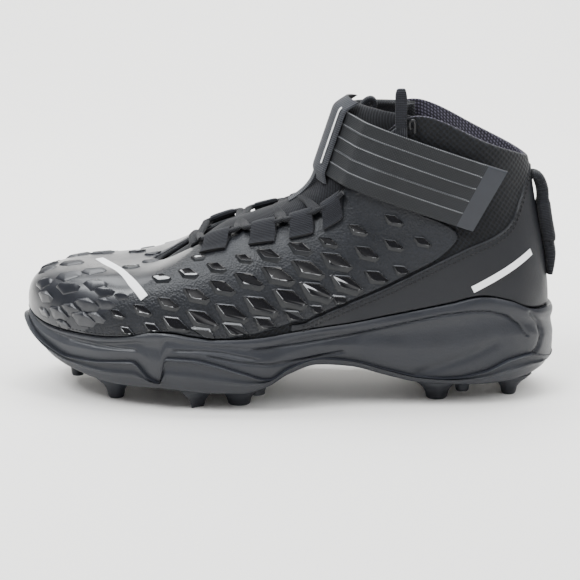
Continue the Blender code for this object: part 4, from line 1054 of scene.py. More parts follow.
def woven_finish(name, dark, light, pitch, depth=0.00025, turn=0.0, roughness=0.9, sheen=0.08, ribs=0.0):
    """Knit or weave along the surface's own grid. pitch is the distance between threads in metres, and ribs
    is how far the threads of one direction stand out as ribs."""
    made, tree, shader = shader_tree(name, light, roughness, sheen=sheen)
    place = mapped(tree, "UV", (1 / pitch, 1 / pitch, 1), turn)
    inputs = {"Vector": place, "Scale": WAVE_PER_UNIT, "Distortion": 0.6, "Detail": 1.0}
    one, two = (node(tree, "ShaderNodeTexWave", inputs, bands_direction=axis)["Fac"] for axis in "XY")
    weave = maths(tree, "MULTIPLY", one, two)
    if ribs:
        weave = weighted(tree, weave, 1 - ribs, one, ribs)
    slow = noise(tree, mapped(tree), 45, 3.0)
    tinted(tree, shader, weighted(tree, weave, 0.7, slow, 0.45), dark, light)
    bumped(tree, shader, [(weave, depth, 0.9), fuzz(tree)])
    return made


def mesh_finish(name, dark, light, pitch):
    """Open mesh: dark holes in a light net."""
    made, tree, shader = shader_tree(name, light, 0.85, sheen=0.1)
    place = mapped(tree, "UV", (1 / pitch, 1 / pitch, 1), DIAGONAL)
    inputs = {"Vector": place, "Scale": 1.0, "Randomness": 0.12}
    cells = node(tree, "ShaderNodeTexVoronoi", inputs, feature="F1")["Distance"]
    tinted(tree, shader, cells, dark, light)
    bumped(tree, shader, [(cells, 0.0005, 1.0), fuzz(tree)])
    return made


RUBBER = moulded_finish("outsole_rubber", (0.0155, 0.0170, 0.0220), 0.42, 1500, 0.00005)
# The foam's lighter toe end is a painted sheen, not a colour of the foam.
FOAM = moulded_finish(
    "midsole_foam", (0.0162, 0.0175, 0.0222), 0.40, 1500, 0.00012, painted_toe_sheen=(0.034, 0.036, 0.042)
)
SKIN_FINISH = moulded_finish(
    "moulded_skin", (0.0050, 0.0060, 0.0090), 0.50, 1400, 0.00008, coat=0.05, mottling=0.4, net=0.5
)
TOE_FINISH = moulded_finish("moulded_toe", (0.010, 0.011, 0.015), 0.33, 2400, 0.00002, coat=0.40)
POD_FINISH = gloss_finish("pod_gloss", (0.0015, 0.0015, 0.0025), 0.08)
POD_BODY = moulded_finish("pod_body", (0.005, 0.006, 0.008), 0.42, 1800, 0.00004, coat=0.08)
# Painted highlight: the light grey of the dark pods' upper bevels stands in for the reflections along their
# upper edges.
POD_PAINTED_HIGHLIGHT = moulded_finish("pod_painted_highlight", (0.060, 0.062, 0.068), 0.24, 2400, 0.00001, coat=0.9)
LEATHER = moulded_finish("heel_leather", (0.0060, 0.0066, 0.0092), 0.50, 1300, 0.00007, mottling=0.10)
TEXTILE = mesh_finish("upper_textile", (0.0008, 0.0008, 0.001), (0.006, 0.0075, 0.012), 0.0026)
COLLAR_KNIT = woven_finish("collar_knit", (0.006, 0.005, 0.009), (0.060, 0.054, 0.078), 0.0020)
LINING = woven_finish("lining", (0.003, 0.003, 0.0045), (0.010, 0.010, 0.015), 0.0014)
WEBBING_FINISH = woven_finish("webbing", DARK_THREAD, LIGHT_THREAD, 0.0010, ribs=0.75)
LACE_FINISH = woven_finish("lace", DARK_THREAD, LIGHT_THREAD, 0.0009, turn=DIAGONAL)
STRAP_FINISH = woven_finish(
    "strap", (0.003, 0.0035, 0.0045), (0.016, 0.018, 0.022), 0.0009, depth=0.00012, roughness=0.55, sheen=0.05
)
STRAP_TAB = moulded_finish("strap_tab", (0.020, 0.022, 0.028), 0.42, 2200, 0.00002)
STRAP_LINE = woven_finish(
    "strap_line", (0.020, 0.022, 0.025), (0.200, 0.205, 0.215), 0.0012, roughness=0.5, sheen=0.0
)
COVER_KNIT = woven_finish("tongue_cover", (0.010, 0.010, 0.013), (0.050, 0.053, 0.061), 0.0012, ribs=0.85)
TONGUE_KNIT = woven_finish("tongue_knit", (0.003, 0.003, 0.004), LIGHT_THREAD, 0.0013, turn=DIAGONAL)
THREAD = moulded_finish("thread", (0.003, 0.003, 0.004), 0.6, 2500, 0.00004)
EYELET = moulded_finish("eyelet", (0.004, 0.004, 0.005), 0.35, 2500, 0.00002)
WHITE = moulded_finish("light_print", (0.86, 0.86, 0.87), 0.40, 2600, 0.00003, mottling=0.02)


def pod_frames():
    """Middle, direction along, direction across, out, size and rings of every pod on both sides."""
    frames = []
    start, stop = upper_surface(*np.array(TOE_BAR).T)
    bar = stop - start
    for rings, lean, rows in ((DARK_RINGS, POD_LEAN, PODS), (TOE_RINGS, TOE_LEAN, TOE_PODS)):
        for row, climb, size in rows:
            for side in (1, -1):
                point, out = upper_surface(side * row, climb), upper_normal(side * row, climb)
                part = np.clip((point - start) @ bar / (bar @ bar), 0, 1)
                if np.linalg.norm(point - start - bar * part) < BAR_MARGIN + size * POD_WIDTH * POD_BY_BAR:
                    continue
                if any(np.linalg.norm(point - one[0]) < POD_SPACING for one in frames):
                    continue
                along = np.array([math.cos(lean), 0, -math.sin(lean)])
                along = unit(along - out * (along @ out))
                across = np.cross(out, along) * side
                frames.append((point, along, across, out, size, rings))
    return frames


def skin_grid(columns, rows):
    """The skin's own grid: rows of the loop, climbs between its edges."""
    u = np.linspace(-SKIN_ENDS, SKIN_ENDS, columns)
    station = np.abs(u)
    blend = ease(station, OVERLAY_ENDS - 1.0, OVERLAY_ENDS)
    seam = np.maximum(overlay_top(u) + SEAM_BAND * 0.40, above_rim(u))
    low = above_rim(u) * (1 - blend) + seam * blend
    lobe = np.minimum(SKIN_TOP, crossing(u, side_line(SKIN_BACK_LINE)))
    high = np.where(station > LOBE_ROW, lobe, SKIN_TOP)
    middle, half = (low + high) / 2, (high - low) / 2
    half = np.maximum(half * rounded(ease(station, SKIN_ENDS, SKIN_ENDS - 1.0)), 0.02)
    share = np.linspace(0, 1, rows)
    return u, (middle - half)[:, None] + 2 * half[:, None] * share[None, :]


def patch_profiles(u, v, base, thickness, edge):
    """Closed profiles of a layer on the upper, whose edges round down onto it. base is the height at which it
    lies, and edge is the width of its rounded edges."""
    wide = np.repeat(u[:, None], v.shape[1], 1)
    points, out = upper_surface(wide, v), upper_normal(wide, v)
    steps = np.linalg.norm(np.diff(points, axis=1), axis=2)
    run = np.concatenate([np.zeros((len(u), 1)), np.cumsum(steps, 1)], 1)
    near = np.minimum(run, run[:, -1:] - run)
    along = lengths_along(points[:, v.shape[1] // 2])
    near = np.minimum(near, np.minimum(along, along[-1] - along)[:, None])
    base = np.broadcast_to(base, len(u))[:, None]
    height = base + thickness * rounded(np.clip(near / edge, 0, 1))
    top = points + out * height[..., None]
    pick = np.linspace(v.shape[1] - 1, 0, 10).astype(int)
    below = points[:, pick] + out[:, pick] * base[..., None] * 0.3
    return np.concatenate([top, below], 1)


def build_skin():
    """The vamp skin, smoother and glossier over the toe."""
    u, v = skin_grid(*SKIN_GRID)
    base = SKIN_HEIGHT * (1 + ease(np.abs(u), 8, 9))

    def faces_of(i, j):
        return int(j < v.shape[1] - 1 and abs(u[i]) < TOE_PART[0] + TOE_PART[1] * v[i, j])

    profiles = patch_profiles(u, v, base, SKIN, SKIN_EDGE)
    finishes = [SKIN_FINISH, TOE_FINISH]
    skin = loft("vamp_skin_dressed", profiles, finishes, faces_of=faces_of, angle=60)
    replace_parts(skin, "vamp_skin")
    return skin


def pod_outline():
    """Points round a pod, three at each corner, so that its corners are slightly rounded."""
    shape = np.array(POD_SHAPE)
    corners = []
    for before, here, after in zip(np.roll(shape, 1, axis=0), shape, np.roll(shape, -1, axis=0)):
        corners.append(here * 0.88 + before * 0.12)
        corners.append(here * 0.97 + (before + after) * 0.015)
        corners.append(here * 0.88 + after * 0.12)
    return np.array(corners)


def build_pods(skin):
    """Raised lenses on the vamp skin, each a faceted hexagon with a glossy window in its upper part and a
    painted highlight on the bevel above the window.
    """
    tree = BVHTree.FromObject(skin, bpy.context.evaluated_depsgraph_get())
    corners = pod_outline()
    made = bmesh.new()
    for point, along, across, out, size, rings in pod_frames():
        half = np.array([size * POD_LENGTH / 2, size * POD_WIDTH / 2])
        window = np.clip(WINDOW_LOOK - math.asin(out[2]), -WINDOW_TILT, WINDOW_TILT)

        def ground(flat):
            plane = point + along * flat[0] + across * flat[1]
            hit = tree.ray_cast(Vector(plane + out * 0.010), Vector(-out), 0.03)[0]
            return None if hit is None else np.array(hit)

        reach = []
        for corner in corners:
            tries = np.arange(1.0, 0.1, -0.05)
            fits = [part for part in tries if ground(corner * half * part * POD_CLEAR) is not None]
            reach.append(fits[0] if fits else 0.1)
        outline_points = corners * np.array(reach)[:, None]
        loops = []
        for wide, tall, ahead, up, high, low, star in rings:
            loop = []
            for corner in outline_points:
                thin = 1 - star * (1 - max(1 - corner[0] ** 2, 0.0) ** 0.7)
                flat = (corner * (wide, tall * thin) + (ahead, up * min(reach))) * half
                share = (corner[1] + 1.1) / 2
                height = (low + (high - low) * share) / 1000 * size**0.5
                if high == low and high > 0:
                    height = height - math.tan(window) * flat[1]
                at = ground(flat)
                at = point + along * flat[0] + across * flat[1] if at is None else at
                loop.append(made.verts.new(at + out * height))
            loops.append(loop)
        body, top = (1, 2) if rings is DARK_RINGS else (0, 0)
        for depth, (a, b) in enumerate(zip(loops, loops[1:])):
            for k in range(len(corners)):
                after = (k + 1) % len(corners)
                face = made.faces.new((a[k], a[after], b[after], b[k]))
                bevel = depth > 0 and corners[k][1] + corners[after][1] > 0.1
                face.material_index = top if bevel or depth == len(loops) - 2 else body
                # Painted highlight: the upper bevel faces next to the rim take the light grey finish.
                if rings is DARK_RINGS and bevel and depth == 2:
                    face.material_index = 3
        made.faces.new(loops[-1]).material_index = top
    finished(made, "vamp_pods", [TOE_FINISH, POD_BODY, POD_FINISH, POD_PAINTED_HIGHLIGHT], 34)


def build_bar(name, ends, ground, width):
    """A plain light bar printed on a dressed piece, straight between two places given as row and climb."""
    tree = BVHTree.FromObject(ground, bpy.context.evaluated_depsgraph_get())
    ends = np.array(ends)
    start, stop = upper_surface(*ends.T)
    look = unit(upper_normal(*ends.T).mean(0))
    path, outs = [], []
    for part in np.linspace(0, 1, 40):
        origin = start * (1 - part) + stop * part + look * 0.03
        hit, normal, _, _ = tree.ray_cast(Vector(origin), Vector(-look), 0.08)
        path.append(np.array(hit) + np.array(normal) * 0.0001)
        outs.append(np.array(normal))
    side = np.cross(np.gradient(path, axis=0), smooth_path(outs, 40))
    loft(name, sweep(path, width, BAR_THICKNESS, side, 6.0, 16), [WHITE], angle=50)


def build_heel_overlay():
    u = np.linspace(OVERLAY_ENDS, LOOP_ROWS - OVERLAY_ENDS, 420)
    low, high = above_rim(u), overlay_top(u)
    v = low[:, None] + (high - low)[:, None] * np.linspace(0, 1, 60)[None, :]
    profiles = patch_profiles(u, v, GAP, OVERLAY, OVERLAY_EDGE)
    panel = loft("heel_overlay_dressed", profiles, [LEATHER], angle=60)
    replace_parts(panel, "heel_overlay")
    return panel


# A stitch: its thickness and its height over the cloth at five places, as shares of the thread's thickness
STITCH_SIZES = np.array((0.45, 0.9, 1.0, 0.9, 0.45))
STITCH_HEIGHTS = np.array((-0.3, 0.1, 0.2, 0.1, -0.3))
STITCH_GAP = 0.0009


def dashes(name, lines, length, thick, slot):
    """Rows of stitches. Each line is points with the direction out of the cloth."""
    solids = []
    for points, outs in lines:
        run = lengths_along(points)
        for k in range(int(run[-1] / (length + STITCH_GAP))):
            where = np.linspace(0, length, len(STITCH_SIZES)) + k * (length + STITCH_GAP)
            path = np.column_stack([np.interp(where, run, points[:, c]) for c in range(3)])
            out = np.column_stack([np.interp(where, run, outs[:, c]) for c in range(3)])
            side = np.cross(np.gradient(path, axis=0), out)
            path = path + out * STITCH_HEIGHTS[:, None] * thick
            solids.append(sweep(path, thick * STITCH_SIZES, thick * STITCH_SIZES, side, segments=6))
    verts, faces = [], []
    for solid in solids:
        n, m = solid.shape[:2]
        base = len(verts)
        verts += solid.reshape(-1, 3).tolist()
        for i in range(n - 1):
            for j in range(m):
                a, b = base + i * m + j, base + i * m + (j + 1) % m
                faces.append((a, b, b + m, a + m))
        faces.append(tuple(base + j for j in range(m))[::-1])
        faces.append(tuple(base + (n - 1) * m + j for j in range(m)))
    mesh = bpy.data.meshes.new(name)
    mesh.from_pydata(verts, [], faces)
    shade(mesh, 60)
    new_object(name, mesh, [THREAD])


# The upper's collar: rows where the padding starts and is full, how far it swells, and where the knit starts
PAD_ROWS = (10.4, 11.6)
PAD_PUFF = 0.0011
KNIT_ROW = 8.6
KNIT_CLIMB = 0.90


def build_upper():
    """The hollow upper, with its padded collar and its lining."""
    u = np.arange(0, LOOP_ROWS, 1 / 14)
    v = np.concatenate([np.linspace(0, 0.4, 14), np.linspace(0.42, 1.0, 60)])
    wide = np.repeat(u[:, None], len(v), 1)
    points, out = upper_surface(wide, v[None, :]), upper_normal(wide, v[None, :])
    station = station_of(u)
    back = ease(station, *PAD_ROWS)[:, None]
    climb = ease(v, 0.55, 0.75) * np.clip((1.0 - v) / 0.08 + 0.35, 0, 1)
    wall = UPPER_WALL + (COLLAR_PAD - UPPER_WALL) * back * climb[None, :]
    puff = back * PAD_PUFF * np.sin(ease(v, 0.80, 1.0) * math.pi)[None, :]
    outer = points + out * puff[..., None]
    inner = points - out * wall[..., None]
    top, low = outer[:, -1], inner[:, -1]
    middle, half = (top + low) / 2, (top - low) / 2
    up = unit(outer[:, -1] - outer[:, -2])
    size = np.linalg.norm(half, axis=1, keepdims=True)
    turns = np.linspace(0, math.pi, 8)[1:-1]
    rim = [middle + half * math.cos(t) + up * size * math.sin(t) * 0.8 for t in turns]
    profiles = np.concatenate([outer, np.stack(rim, 1), inner[:, ::-1]], 1)
    knit_end = len(v) + len(rim) + int(np.sum(v > KNIT_CLIMB))

    def faces_of(i, j):
        if j < len(v) + 1:
            return 0
        return 1 if j < knit_end and station[i % len(u)] > KNIT_ROW else 2

    finishes, slot = [TEXTILE, COLLAR_KNIT, LINING], "upper_textile"
    upper = loft("upper_dressed", profiles, finishes, closed=True, faces_of=faces_of, angle=60)
    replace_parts(upper, "upper")


# Rings of the insole from its spine out and back over the top: share of the way out, and share of its height
INSOLE_RINGS = ((0, 0), (0.5, 0), (1, 0), (1, 1), (0.985, 1.25), (0.9, 1.1), (0.5, 1.0), (0, 1.0))


def build_insole():
    """The insole, whose edge turns up along the upper's wall."""
    u = np.arange(0, LOOP_ROWS, 1 / 6)
    bed = on_upper(u, np.zeros(len(u)), np.full(len(u), GAP))[:, :2]
    across = spine_points(u) - bed
    length = np.linalg.norm(across, axis=1)
    lean = -np.sum(outward(u) * across, axis=1) / length
    share = (UPPER_WALL * 1.25 + 3 * GAP) / (length * np.maximum(lean, 0.3))
    rings = []
    for part, lift in INSOLE_RINGS:
        inset = 1 - part * (1 - share)
        plan = bed + across * inset[:, None]
        level = sole_z("bed", plan[:, 0]) + 1.6 * GAP + INSOLE * lift * 0.9
        rings.append(np.column_stack([plan, level]))
    insole = loft("insole_dressed", np.stack(rings, 1), [LINING], closed=True)
    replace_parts(insole, "insole")


def ring_profile(u):
    """Rings of the midsole's footbed from its spine outwards, and of its cup up to the rim."""
    x, _ = outline(u)
    rim = rim_v(u)
    rows = np.column_stack([rim * 0, rim / 3, rim * 2 / 3, rim])
    cup = [on_upper(u, rows[:, j], np.full(len(u), GAP)) for j in range(4)]
    cup[0][:, 2] = sole_z("bed", cup[0][:, 0])
    cup[3][:, 2] = sole_z("rim", x)
    spine = spine_points(u)
    half = (cup[0][:, :2] + spine) / 2
    bed = [np.column_stack([plan, sole_z("bed", plan[:, 0])]) for plan in (spine, half)]
    return bed, cup


def groove(x, z, points, width, depth):
    """A groove along a polyline of X and Z on the side, which is given in millimetres."""
    near = np.full(np.shape(x), np.inf)
    points = np.array(points) / 1000
    for a, b in zip(points, points[1:]):
        ab = b - a
        t = np.clip(((x - a[0]) * ab[0] + (z - a[1]) * ab[1]) / (ab @ ab), 0, 1)
        near = np.minimum(near, np.hypot(x - a[0] - ab[0] * t, z - a[1] - ab[1] * t))
    return -depth * np.exp(-((near / width) ** 2))


# Lines on the midsole's side, X and Z in millimetres
RIM_GROOVE = (
    (-20.0, 38.3), (5.7, 40.8), (35.4, 44.5), (65.2, 50.4), (90.1, 55.6), (105, 57.2), (115.3, 56.9),
    (125.7, 53.4), (134, 47), (139, 40),
)
CLIP_CREASE = ((140.6, 53.3), (146, 46), (148.3, 37.9), (146.5, 32), (142.7, 27.2))
RECESS = ((76.0, 20.5), (92.0, 26.0), (108.0, 32.0), (119.5, 37.5))
FORE_CREASES = (
    ((-128, 38.0), (-112, 36.8), (-98, 36.4), (-90, 36.6)),
    ((-66, 37.5), (-52, 37.8), (-38, 36.5), (-20, 32.5)),
    ((-46, 34.5), (-30, 31.0), (-12, 29.0), (8, 31.5), (30, 35.0)),
)


def side_relief(x, z):
    """How far the midsole's side stands out at its grooves, creases and recess, which are all below 0."""
    lines = ((RIM_GROOVE, 0.0006, 0.0011), (CLIP_CREASE, 0.0011, 0.0016), (RECESS, 0.0032, 0.0010))
    lines += tuple((line, 0.0008, 0.0010) for line in FORE_CREASES)
    return sum(groove(x, z, line, width, depth) for line, width, depth in lines)


def heel_fade(u):
    """A share that grows to 1 at the back of the heel."""
    return ease(station_of(u), 13.1, 13.55)


def wrap_reach(u):
    """Share of the side that the outsole's wrap covers. It runs out at the back of the heel."""
    return wrap_share(u) * (1 - 0.72 * heel_fade(u))


def underside_rings(u, insets, lift):
    """Rings of the sole's underside, from its edge in to the spine, raised by lift."""
    edge = sole_z("edge", outline(u)[0])
    rings = []
    for inset in insets:
        plan = inset_outline(u, np.full(len(u), inset * BALL_WIDTH / 2))
        plate = sole_z("plate", plan[:, 0])
        rings.append(np.column_stack([plan, plate + edge_lean(inset) * (edge - plate) + lift]))
    plan = spine_points(u)
    rings.append(np.column_stack([plan, sole_z("plate", plan[:, 0]) + lift]))
    return rings


# The sole's side behind the wrap: shares of the wrap's height, and how far it stands out at each of them as a
# share of RIM_WALL
WRAP_SHARES = (0.0, 0.45, 1.0)
WRAP_OUTS = (-EDGE_IN, WRAP_OUT * 0.5, WRAP_OUT)

# The midsole's rounded rim: how far it is drawn in and raised, with the part that is added towards the toe
RIM_ROUND = 0.0013
TOE_ROUND = 0.0012
RIM_RAISED = 0.0004


def build_midsole():
    """The foam cup, with its rounded rim, the relief of its side and the flat behind the outsole."""
    u = np.arange(0, LOOP_ROWS, 1 / 18)
    bed, cup = ring_profile(u)
    reach = wrap_reach(u)
    out = outward(u)
    lip = cup[3].copy()
    lip[:, :2] += out * RIM_LIP
    lip[:, 2] += GAP
    places = [0.0, *[part for part, _ in SIDE[::-1]], 1.0]
    stands = [WRAP_OUT, *[stand for _, stand in SIDE[::-1]], 0.02]
    fade = ease(reach, 0.75, 0.45)
    tip = ease(station_of(u), 3.0, 1.0)
    sides = []
    for share in np.linspace(1.0, 0.0, 66):
        base = smooth_table(np.array([share]), places, stands)[0]
        stand = np.where(base < 0, base * fade, base) * RIM_WALL
        rounding = RIM_ROUND * (1 + tip) * ease(share, 0.9, 1.0) ** 2
        rounding = rounding + TOE_ROUND * tip * ease(share, 0.4, 1.0)
        ring = side_ring(u, reach + (1 - reach) * share, stand - rounding)
        ring[:, 2] += RIM_RAISED * ease(share, 0.9, 1.0)
        ring[:, :2] += out * side_relief(ring[:, 0], ring[:, 2])[:, None]
        sides.append(ring)
    lower = zip(WRAP_SHARES[1::-1], WRAP_OUTS[1::-1])
    wrapped = [side_ring(u, reach * part, stand * RIM_WALL) for part, stand in lower]
    under = underside_rings(u, [inset for inset, _ in UNDERSIDE], PLATE + GAP)
    profiles = np.stack([*bed, *cup, lip, *sides, *wrapped, *under], 1)
    midsole = loft("midsole_dressed", profiles, [FOAM], closed=True, loop=False, angle=50)
    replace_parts(midsole, "midsole")


# The outsole's wrap: share of its height, and how far it stands out there in millimetres. Its top is a bead.
WRAP_BEAD = (
    (1.00, -0.8), (0.995, 0.3), (0.985, 0.9), (0.955, 1.15), (0.925, 0.95), (0.905, 0.2), (0.885, -0.5),
    (0.80, -0.65), (0.65, -0.5), (0.50, -0.2), (0.42, 0.55), (0.36, 0.75), (0.28, 0.45), (0.12, 0.05),
    (0.0, 0.0),
)


def build_outsole():
    """The moulded plate with its side wraps."""
    u = np.arange(0, LOOP_ROWS, 1 / 24)
    reach = wrap_reach(u)
    back = heel_fade(u)
    extra = GAP + PLATE_SIDE * (1 - 0.9 * back)

    def wrap(more, part):
        out = np.interp(part, WRAP_SHARES, WRAP_OUTS)
        return side_ring(u, reach * part, out * RIM_WALL + more)

    outer = [wrap(extra + more / 1000 * (1 - back), part) for part, more in WRAP_BEAD]
    inner = [wrap(GAP, part) for part in WRAP_SHARES[::-1]]
    outer[-1][:, 2] -= PLATE * 0.6
    inner[-1][:, 2] -= GAP
    below = underside_rings(u, (0.05, 0.10, 0.2, 0.30), 0)
    above = underside_rings(u, (0.10, 0.30), PLATE)
    profiles = np.stack([*below[::-1], *outer[::-1], *inner, *above], 1)
    return loft("outsole_dressed", profiles, [RUBBER], closed=True, loop=False, angle=50)


# Rings of a stud: share of its height from the foot up, and its width there. At 1 it is as wide as its foot,
# at 0 as its top, and below 0 it flares out further. The first ring is drawn in by FOOT_ROUND.
STUD_RINGS = ((0.0, 1.0), (0.07, 1.0), (0.35, 0.80), (0.52, 0.45), (0.68, 0.0), (0.82, -0.7), (1.0, -1.5))
FOOT_ROUND = 0.88


def build_studs():
    """Studs whose foot is flat and whose root flares out into the plate."""
    made = bmesh.new()
    for row in STUDS:
        stud = dict(zip(STUD_COLUMNS, row))
        x, y = along_x(stud["along"]), side_y(stud["side"])
        sides = 3 if stud["sides"] == 4 else max(8, int(stud["sides"]) * 2)
        foot_z = STUD_HEIGHT * (1 - stud["height"])
        top = underside_z(x, y) + PLATE * STUD_SINK
        rings = []
        for part, foot_share in STUD_RINGS:
            across = stud["foot"] + (stud["top"] - stud["foot"]) * (1 - foot_share)
            if part == 0:
                across = across * FOOT_ROUND
            deep = min(across, stud["top"] * 1.15)
            ring = []
            for k in range(sides):
                turn = 2 * math.pi * (k + (0.5 if sides > 3 else 0.0)) / sides
                ahead = math.cos(turn) * stud["stretch"] * STUD_RADIUS * across
                out = math.sin(turn) * STUD_RADIUS * deep
                ring.append(made.verts.new((x + ahead, y + out, foot_z + (top - foot_z) * part)))
            rings.append(ring)
        made.faces.new(rings[0][::-1])
        made.faces.new(rings[-1])
        for a, b in zip(rings, rings[1:]):
            for k in range(sides):
                made.faces.new((a[k], a[(k + 1) % sides], b[(k + 1) % sides], b[k]))
    finished(made, "studs_dressed", [RUBBER], 35)


# The strap: how far its free end slants and over what length, the length of its bare tab, and its raised
# lines: their places across it from -1 to 1, their width in the same measure and their height in metres
STRAP_SLANT = 0.007
SLANT_RUN = 0.06
TAB_LENGTH = 0.0125
STRAP_LINES = (-0.58, -0.18, 0.22, 0.60, 0.985)
LINE_WIDTH = 0.020
LINE_HEIGHT = 0.00045


def build_strap():
    """The fastened strap, with raised lines that end at the bare tab on its outer end."""
    taut = taut_line(STRAP_THICKNESS / 2 + STRAP_CLEARANCE)
    line = between_ends(taut, STRAP_INNER_END * LENGTH, STRAP_OUTER_END * LENGTH, 170)
    dense = smooth_path(line, 170)
    ahead = unit(np.gradient(dense, axis=0))
    out = np.column_stack([ahead[:, 1], -ahead[:, 0]])
    if float(np.mean(np.sum(out * (dense - dense.mean(0)), axis=1))) < 0:
        out = -out
    run = lengths_along(dense)
    tail = run[-1] - run
    half, thick = STRAP_WIDTH / 2, STRAP_THICKNESS / 2
    heights = np.linspace(-1, 1, 100)
    raised = sum(np.exp(-(((heights - r) / LINE_WIDTH) ** 2)) for r in STRAP_LINES)
    rounding = 1 - ease(np.abs(heights), 0.965, 1.0) ** 2 * 0.5
    fade = ease(tail, TAB_LENGTH, TAB_LENGTH + 0.001) * ease(run, 0, 0.004)
    near_end = ease(tail, SLANT_RUN, 0)
    profiles = []
    for k in range(len(dense)):
        top = thick * rounding + raised * LINE_HEIGHT * fade[k]
        where = run[k] - STRAP_SLANT * (1 - heights) / 2 * near_end[k]
        middle = np.column_stack([np.interp(where, run, dense[:, c]) for c in range(2)])
        outer = [from_strap_frame(*(m + out[k] * t), h * half) for m, t, h in zip(middle, top, heights)]
        back = zip(middle[::-4], rounding[::-4], heights[::-4])
        inner = [from_strap_frame(*(m - out[k] * thick * r), h * half) for m, r, h in back]
        profiles.append(np.array(outer + inner))

    def faces_of(i, j):
        if j >= len(heights) - 1:
            return 0
        if tail[i] < TAB_LENGTH:
            return 1
        return 2 if raised[j] > 0.45 and raised[j + 1] > 0.0 else 0

    finishes = [STRAP_FINISH, STRAP_TAB, STRAP_LINE]
    strap = loft("ankle_strap_dressed", profiles, finishes, faces_of=faces_of, angle=50)
    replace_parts(strap, "ankle_strap")


# The tongue: how far its padding rises between the laces, the rows over which it starts and ends, the shares
# over which its tucked edges thin out, and the rows over which its top is rounded
TONGUE_BED = 0.0034
BED_START = (4.6, 5.4)
BED_END = (8.4, 7.6)
TONGUE_EDGE = (1.1, 1.22)
TONGUE_TOP = 0.22

# The light bar on the tongue's cover: its place beside the middle, its width, and the cover's rows it spans
TONGUE_BAR_SIDE = -0.0112
TONGUE_BAR_WIDTH = 0.0032
TONGUE_BAR_ROWS = (9, 39)

# Half the thickness of a webbing loop across its width, as a share of WEBBING, from one edge to the other
LOOP_PUFF = (0.232, 0.522, 0.58, 0.58, 0.58, 0.58, 0.58, 0.522, 0.232)

# The lace's section as shares of LACE, and the direction that its flat side faces
LACE_WIDE = 1.85
LACE_THICK = 1.05
LACE_FACE = (-0.3, 0, 0.95)

# How far the heel pull is moved ahead, the sleeve's size, and the pitch of the pull's ribs
PULL_FORWARD = 0.0022
SLEEVE_SIZE = 1.12
RIB_PITCH = 0.0014

# The fold of the collar pull: height as a share of COLLAR_PULL_HEIGHT, and depth as a share of RIBBON
COLLAR_FOLD = ((0.5, 0.0), (0.9, 0.4), (1.0, 1.6), (0.9, 2.8), (0.5, 2.6))

# The fold of the tongue pull: shares of TONGUE_PULL_HEIGHT and of TONGUE_FOLD_DEPTH
TONGUE_FOLD = (
    (-0.7, 0.0), (0.0, 0.0), (0.55, 0.15), (0.9, 0.5), (1.0, 1.0), (0.75, 1.6), (0.2, 1.75), (-0.4, 1.7),
)
TONGUE_FOLD_DEPTH = 0.6 * TONGUE_PULL_HEIGHT

# The knit patch at the collar's front, and the eyelet beside it: its row and climb, height and cord
PATCH_ROWS = (9.60, 10.12)
PATCH_CLIMB = (0.90, 0.992)
PATCH_COUNT = 24
PATCH_THICKNESS = 0.0011
PATCH_EDGE = 0.0005
EYELET_LINE = ((10.22, 0.955), (10.20, 0.985), (10.27, 0.995), (10.34, 0.985), (10.33, 0.935))
EYELET_HEIGHT = 0.0018
EYELET_CORD = 0.0015

# The knit below the tongue's cover
TAIL_ROWS = (6.95, 8.60)
TAIL_SHARES = (-0.22, 0.42)
TAIL_HEIGHT = 0.0040

# Distance of the stitches from the overlay's edge in metres, and of the vamp's seam over the rim as a climb
OVERLAY_SEAMS = (0.0016, 0.0042)
VAMP_SEAM = 0.018

# Length and thickness of a stitch
OVERLAY_STITCH = (0.0019, 0.0010)
VAMP_STITCH = (0.0016, 0.0006)


def build_tongue():
    """The padded tongue, which swells between the laces and thins out towards its edges and its top."""
    rows = np.linspace(TONGUE_SHAPE[0][0], TONGUE_SHAPE[-1][0], 110)
    shares = np.linspace(-TONGUE_EDGE[1], TONGUE_EDGE[1], 60)
    surface = tongue_surface(rows[:, None], shares[None, :])
    out = tongue_normal(rows[:, None], shares[None, :])
    thin = rounded(ease(rows, rows[-1], rows[-1] - TONGUE_TOP))[:, None]
    edge = np.sqrt(1 - ease(np.abs(shares), *TONGUE_EDGE) ** 2)[None, :]
    thick = TONGUE * np.maximum(thin * edge, 0.08)
    middle = surface - out * TONGUE / 2
    bed = ease(rows, *BED_START) * ease(rows, *BED_END)
    bed = TONGUE_BED * bed[:, None] * np.clip(1 - shares**2, 0, 1)[None, :]
    outer = middle + out * (thick / 2 + bed)[..., None]
    inner = middle - out * (thick / 2)[..., None]
    profiles = np.concatenate([outer, inner[:, ::-2]], 1)
    tongue = loft("tongue_dressed", profiles, [TONGUE_KNIT], angle=60)
    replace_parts(tongue, "tongue")


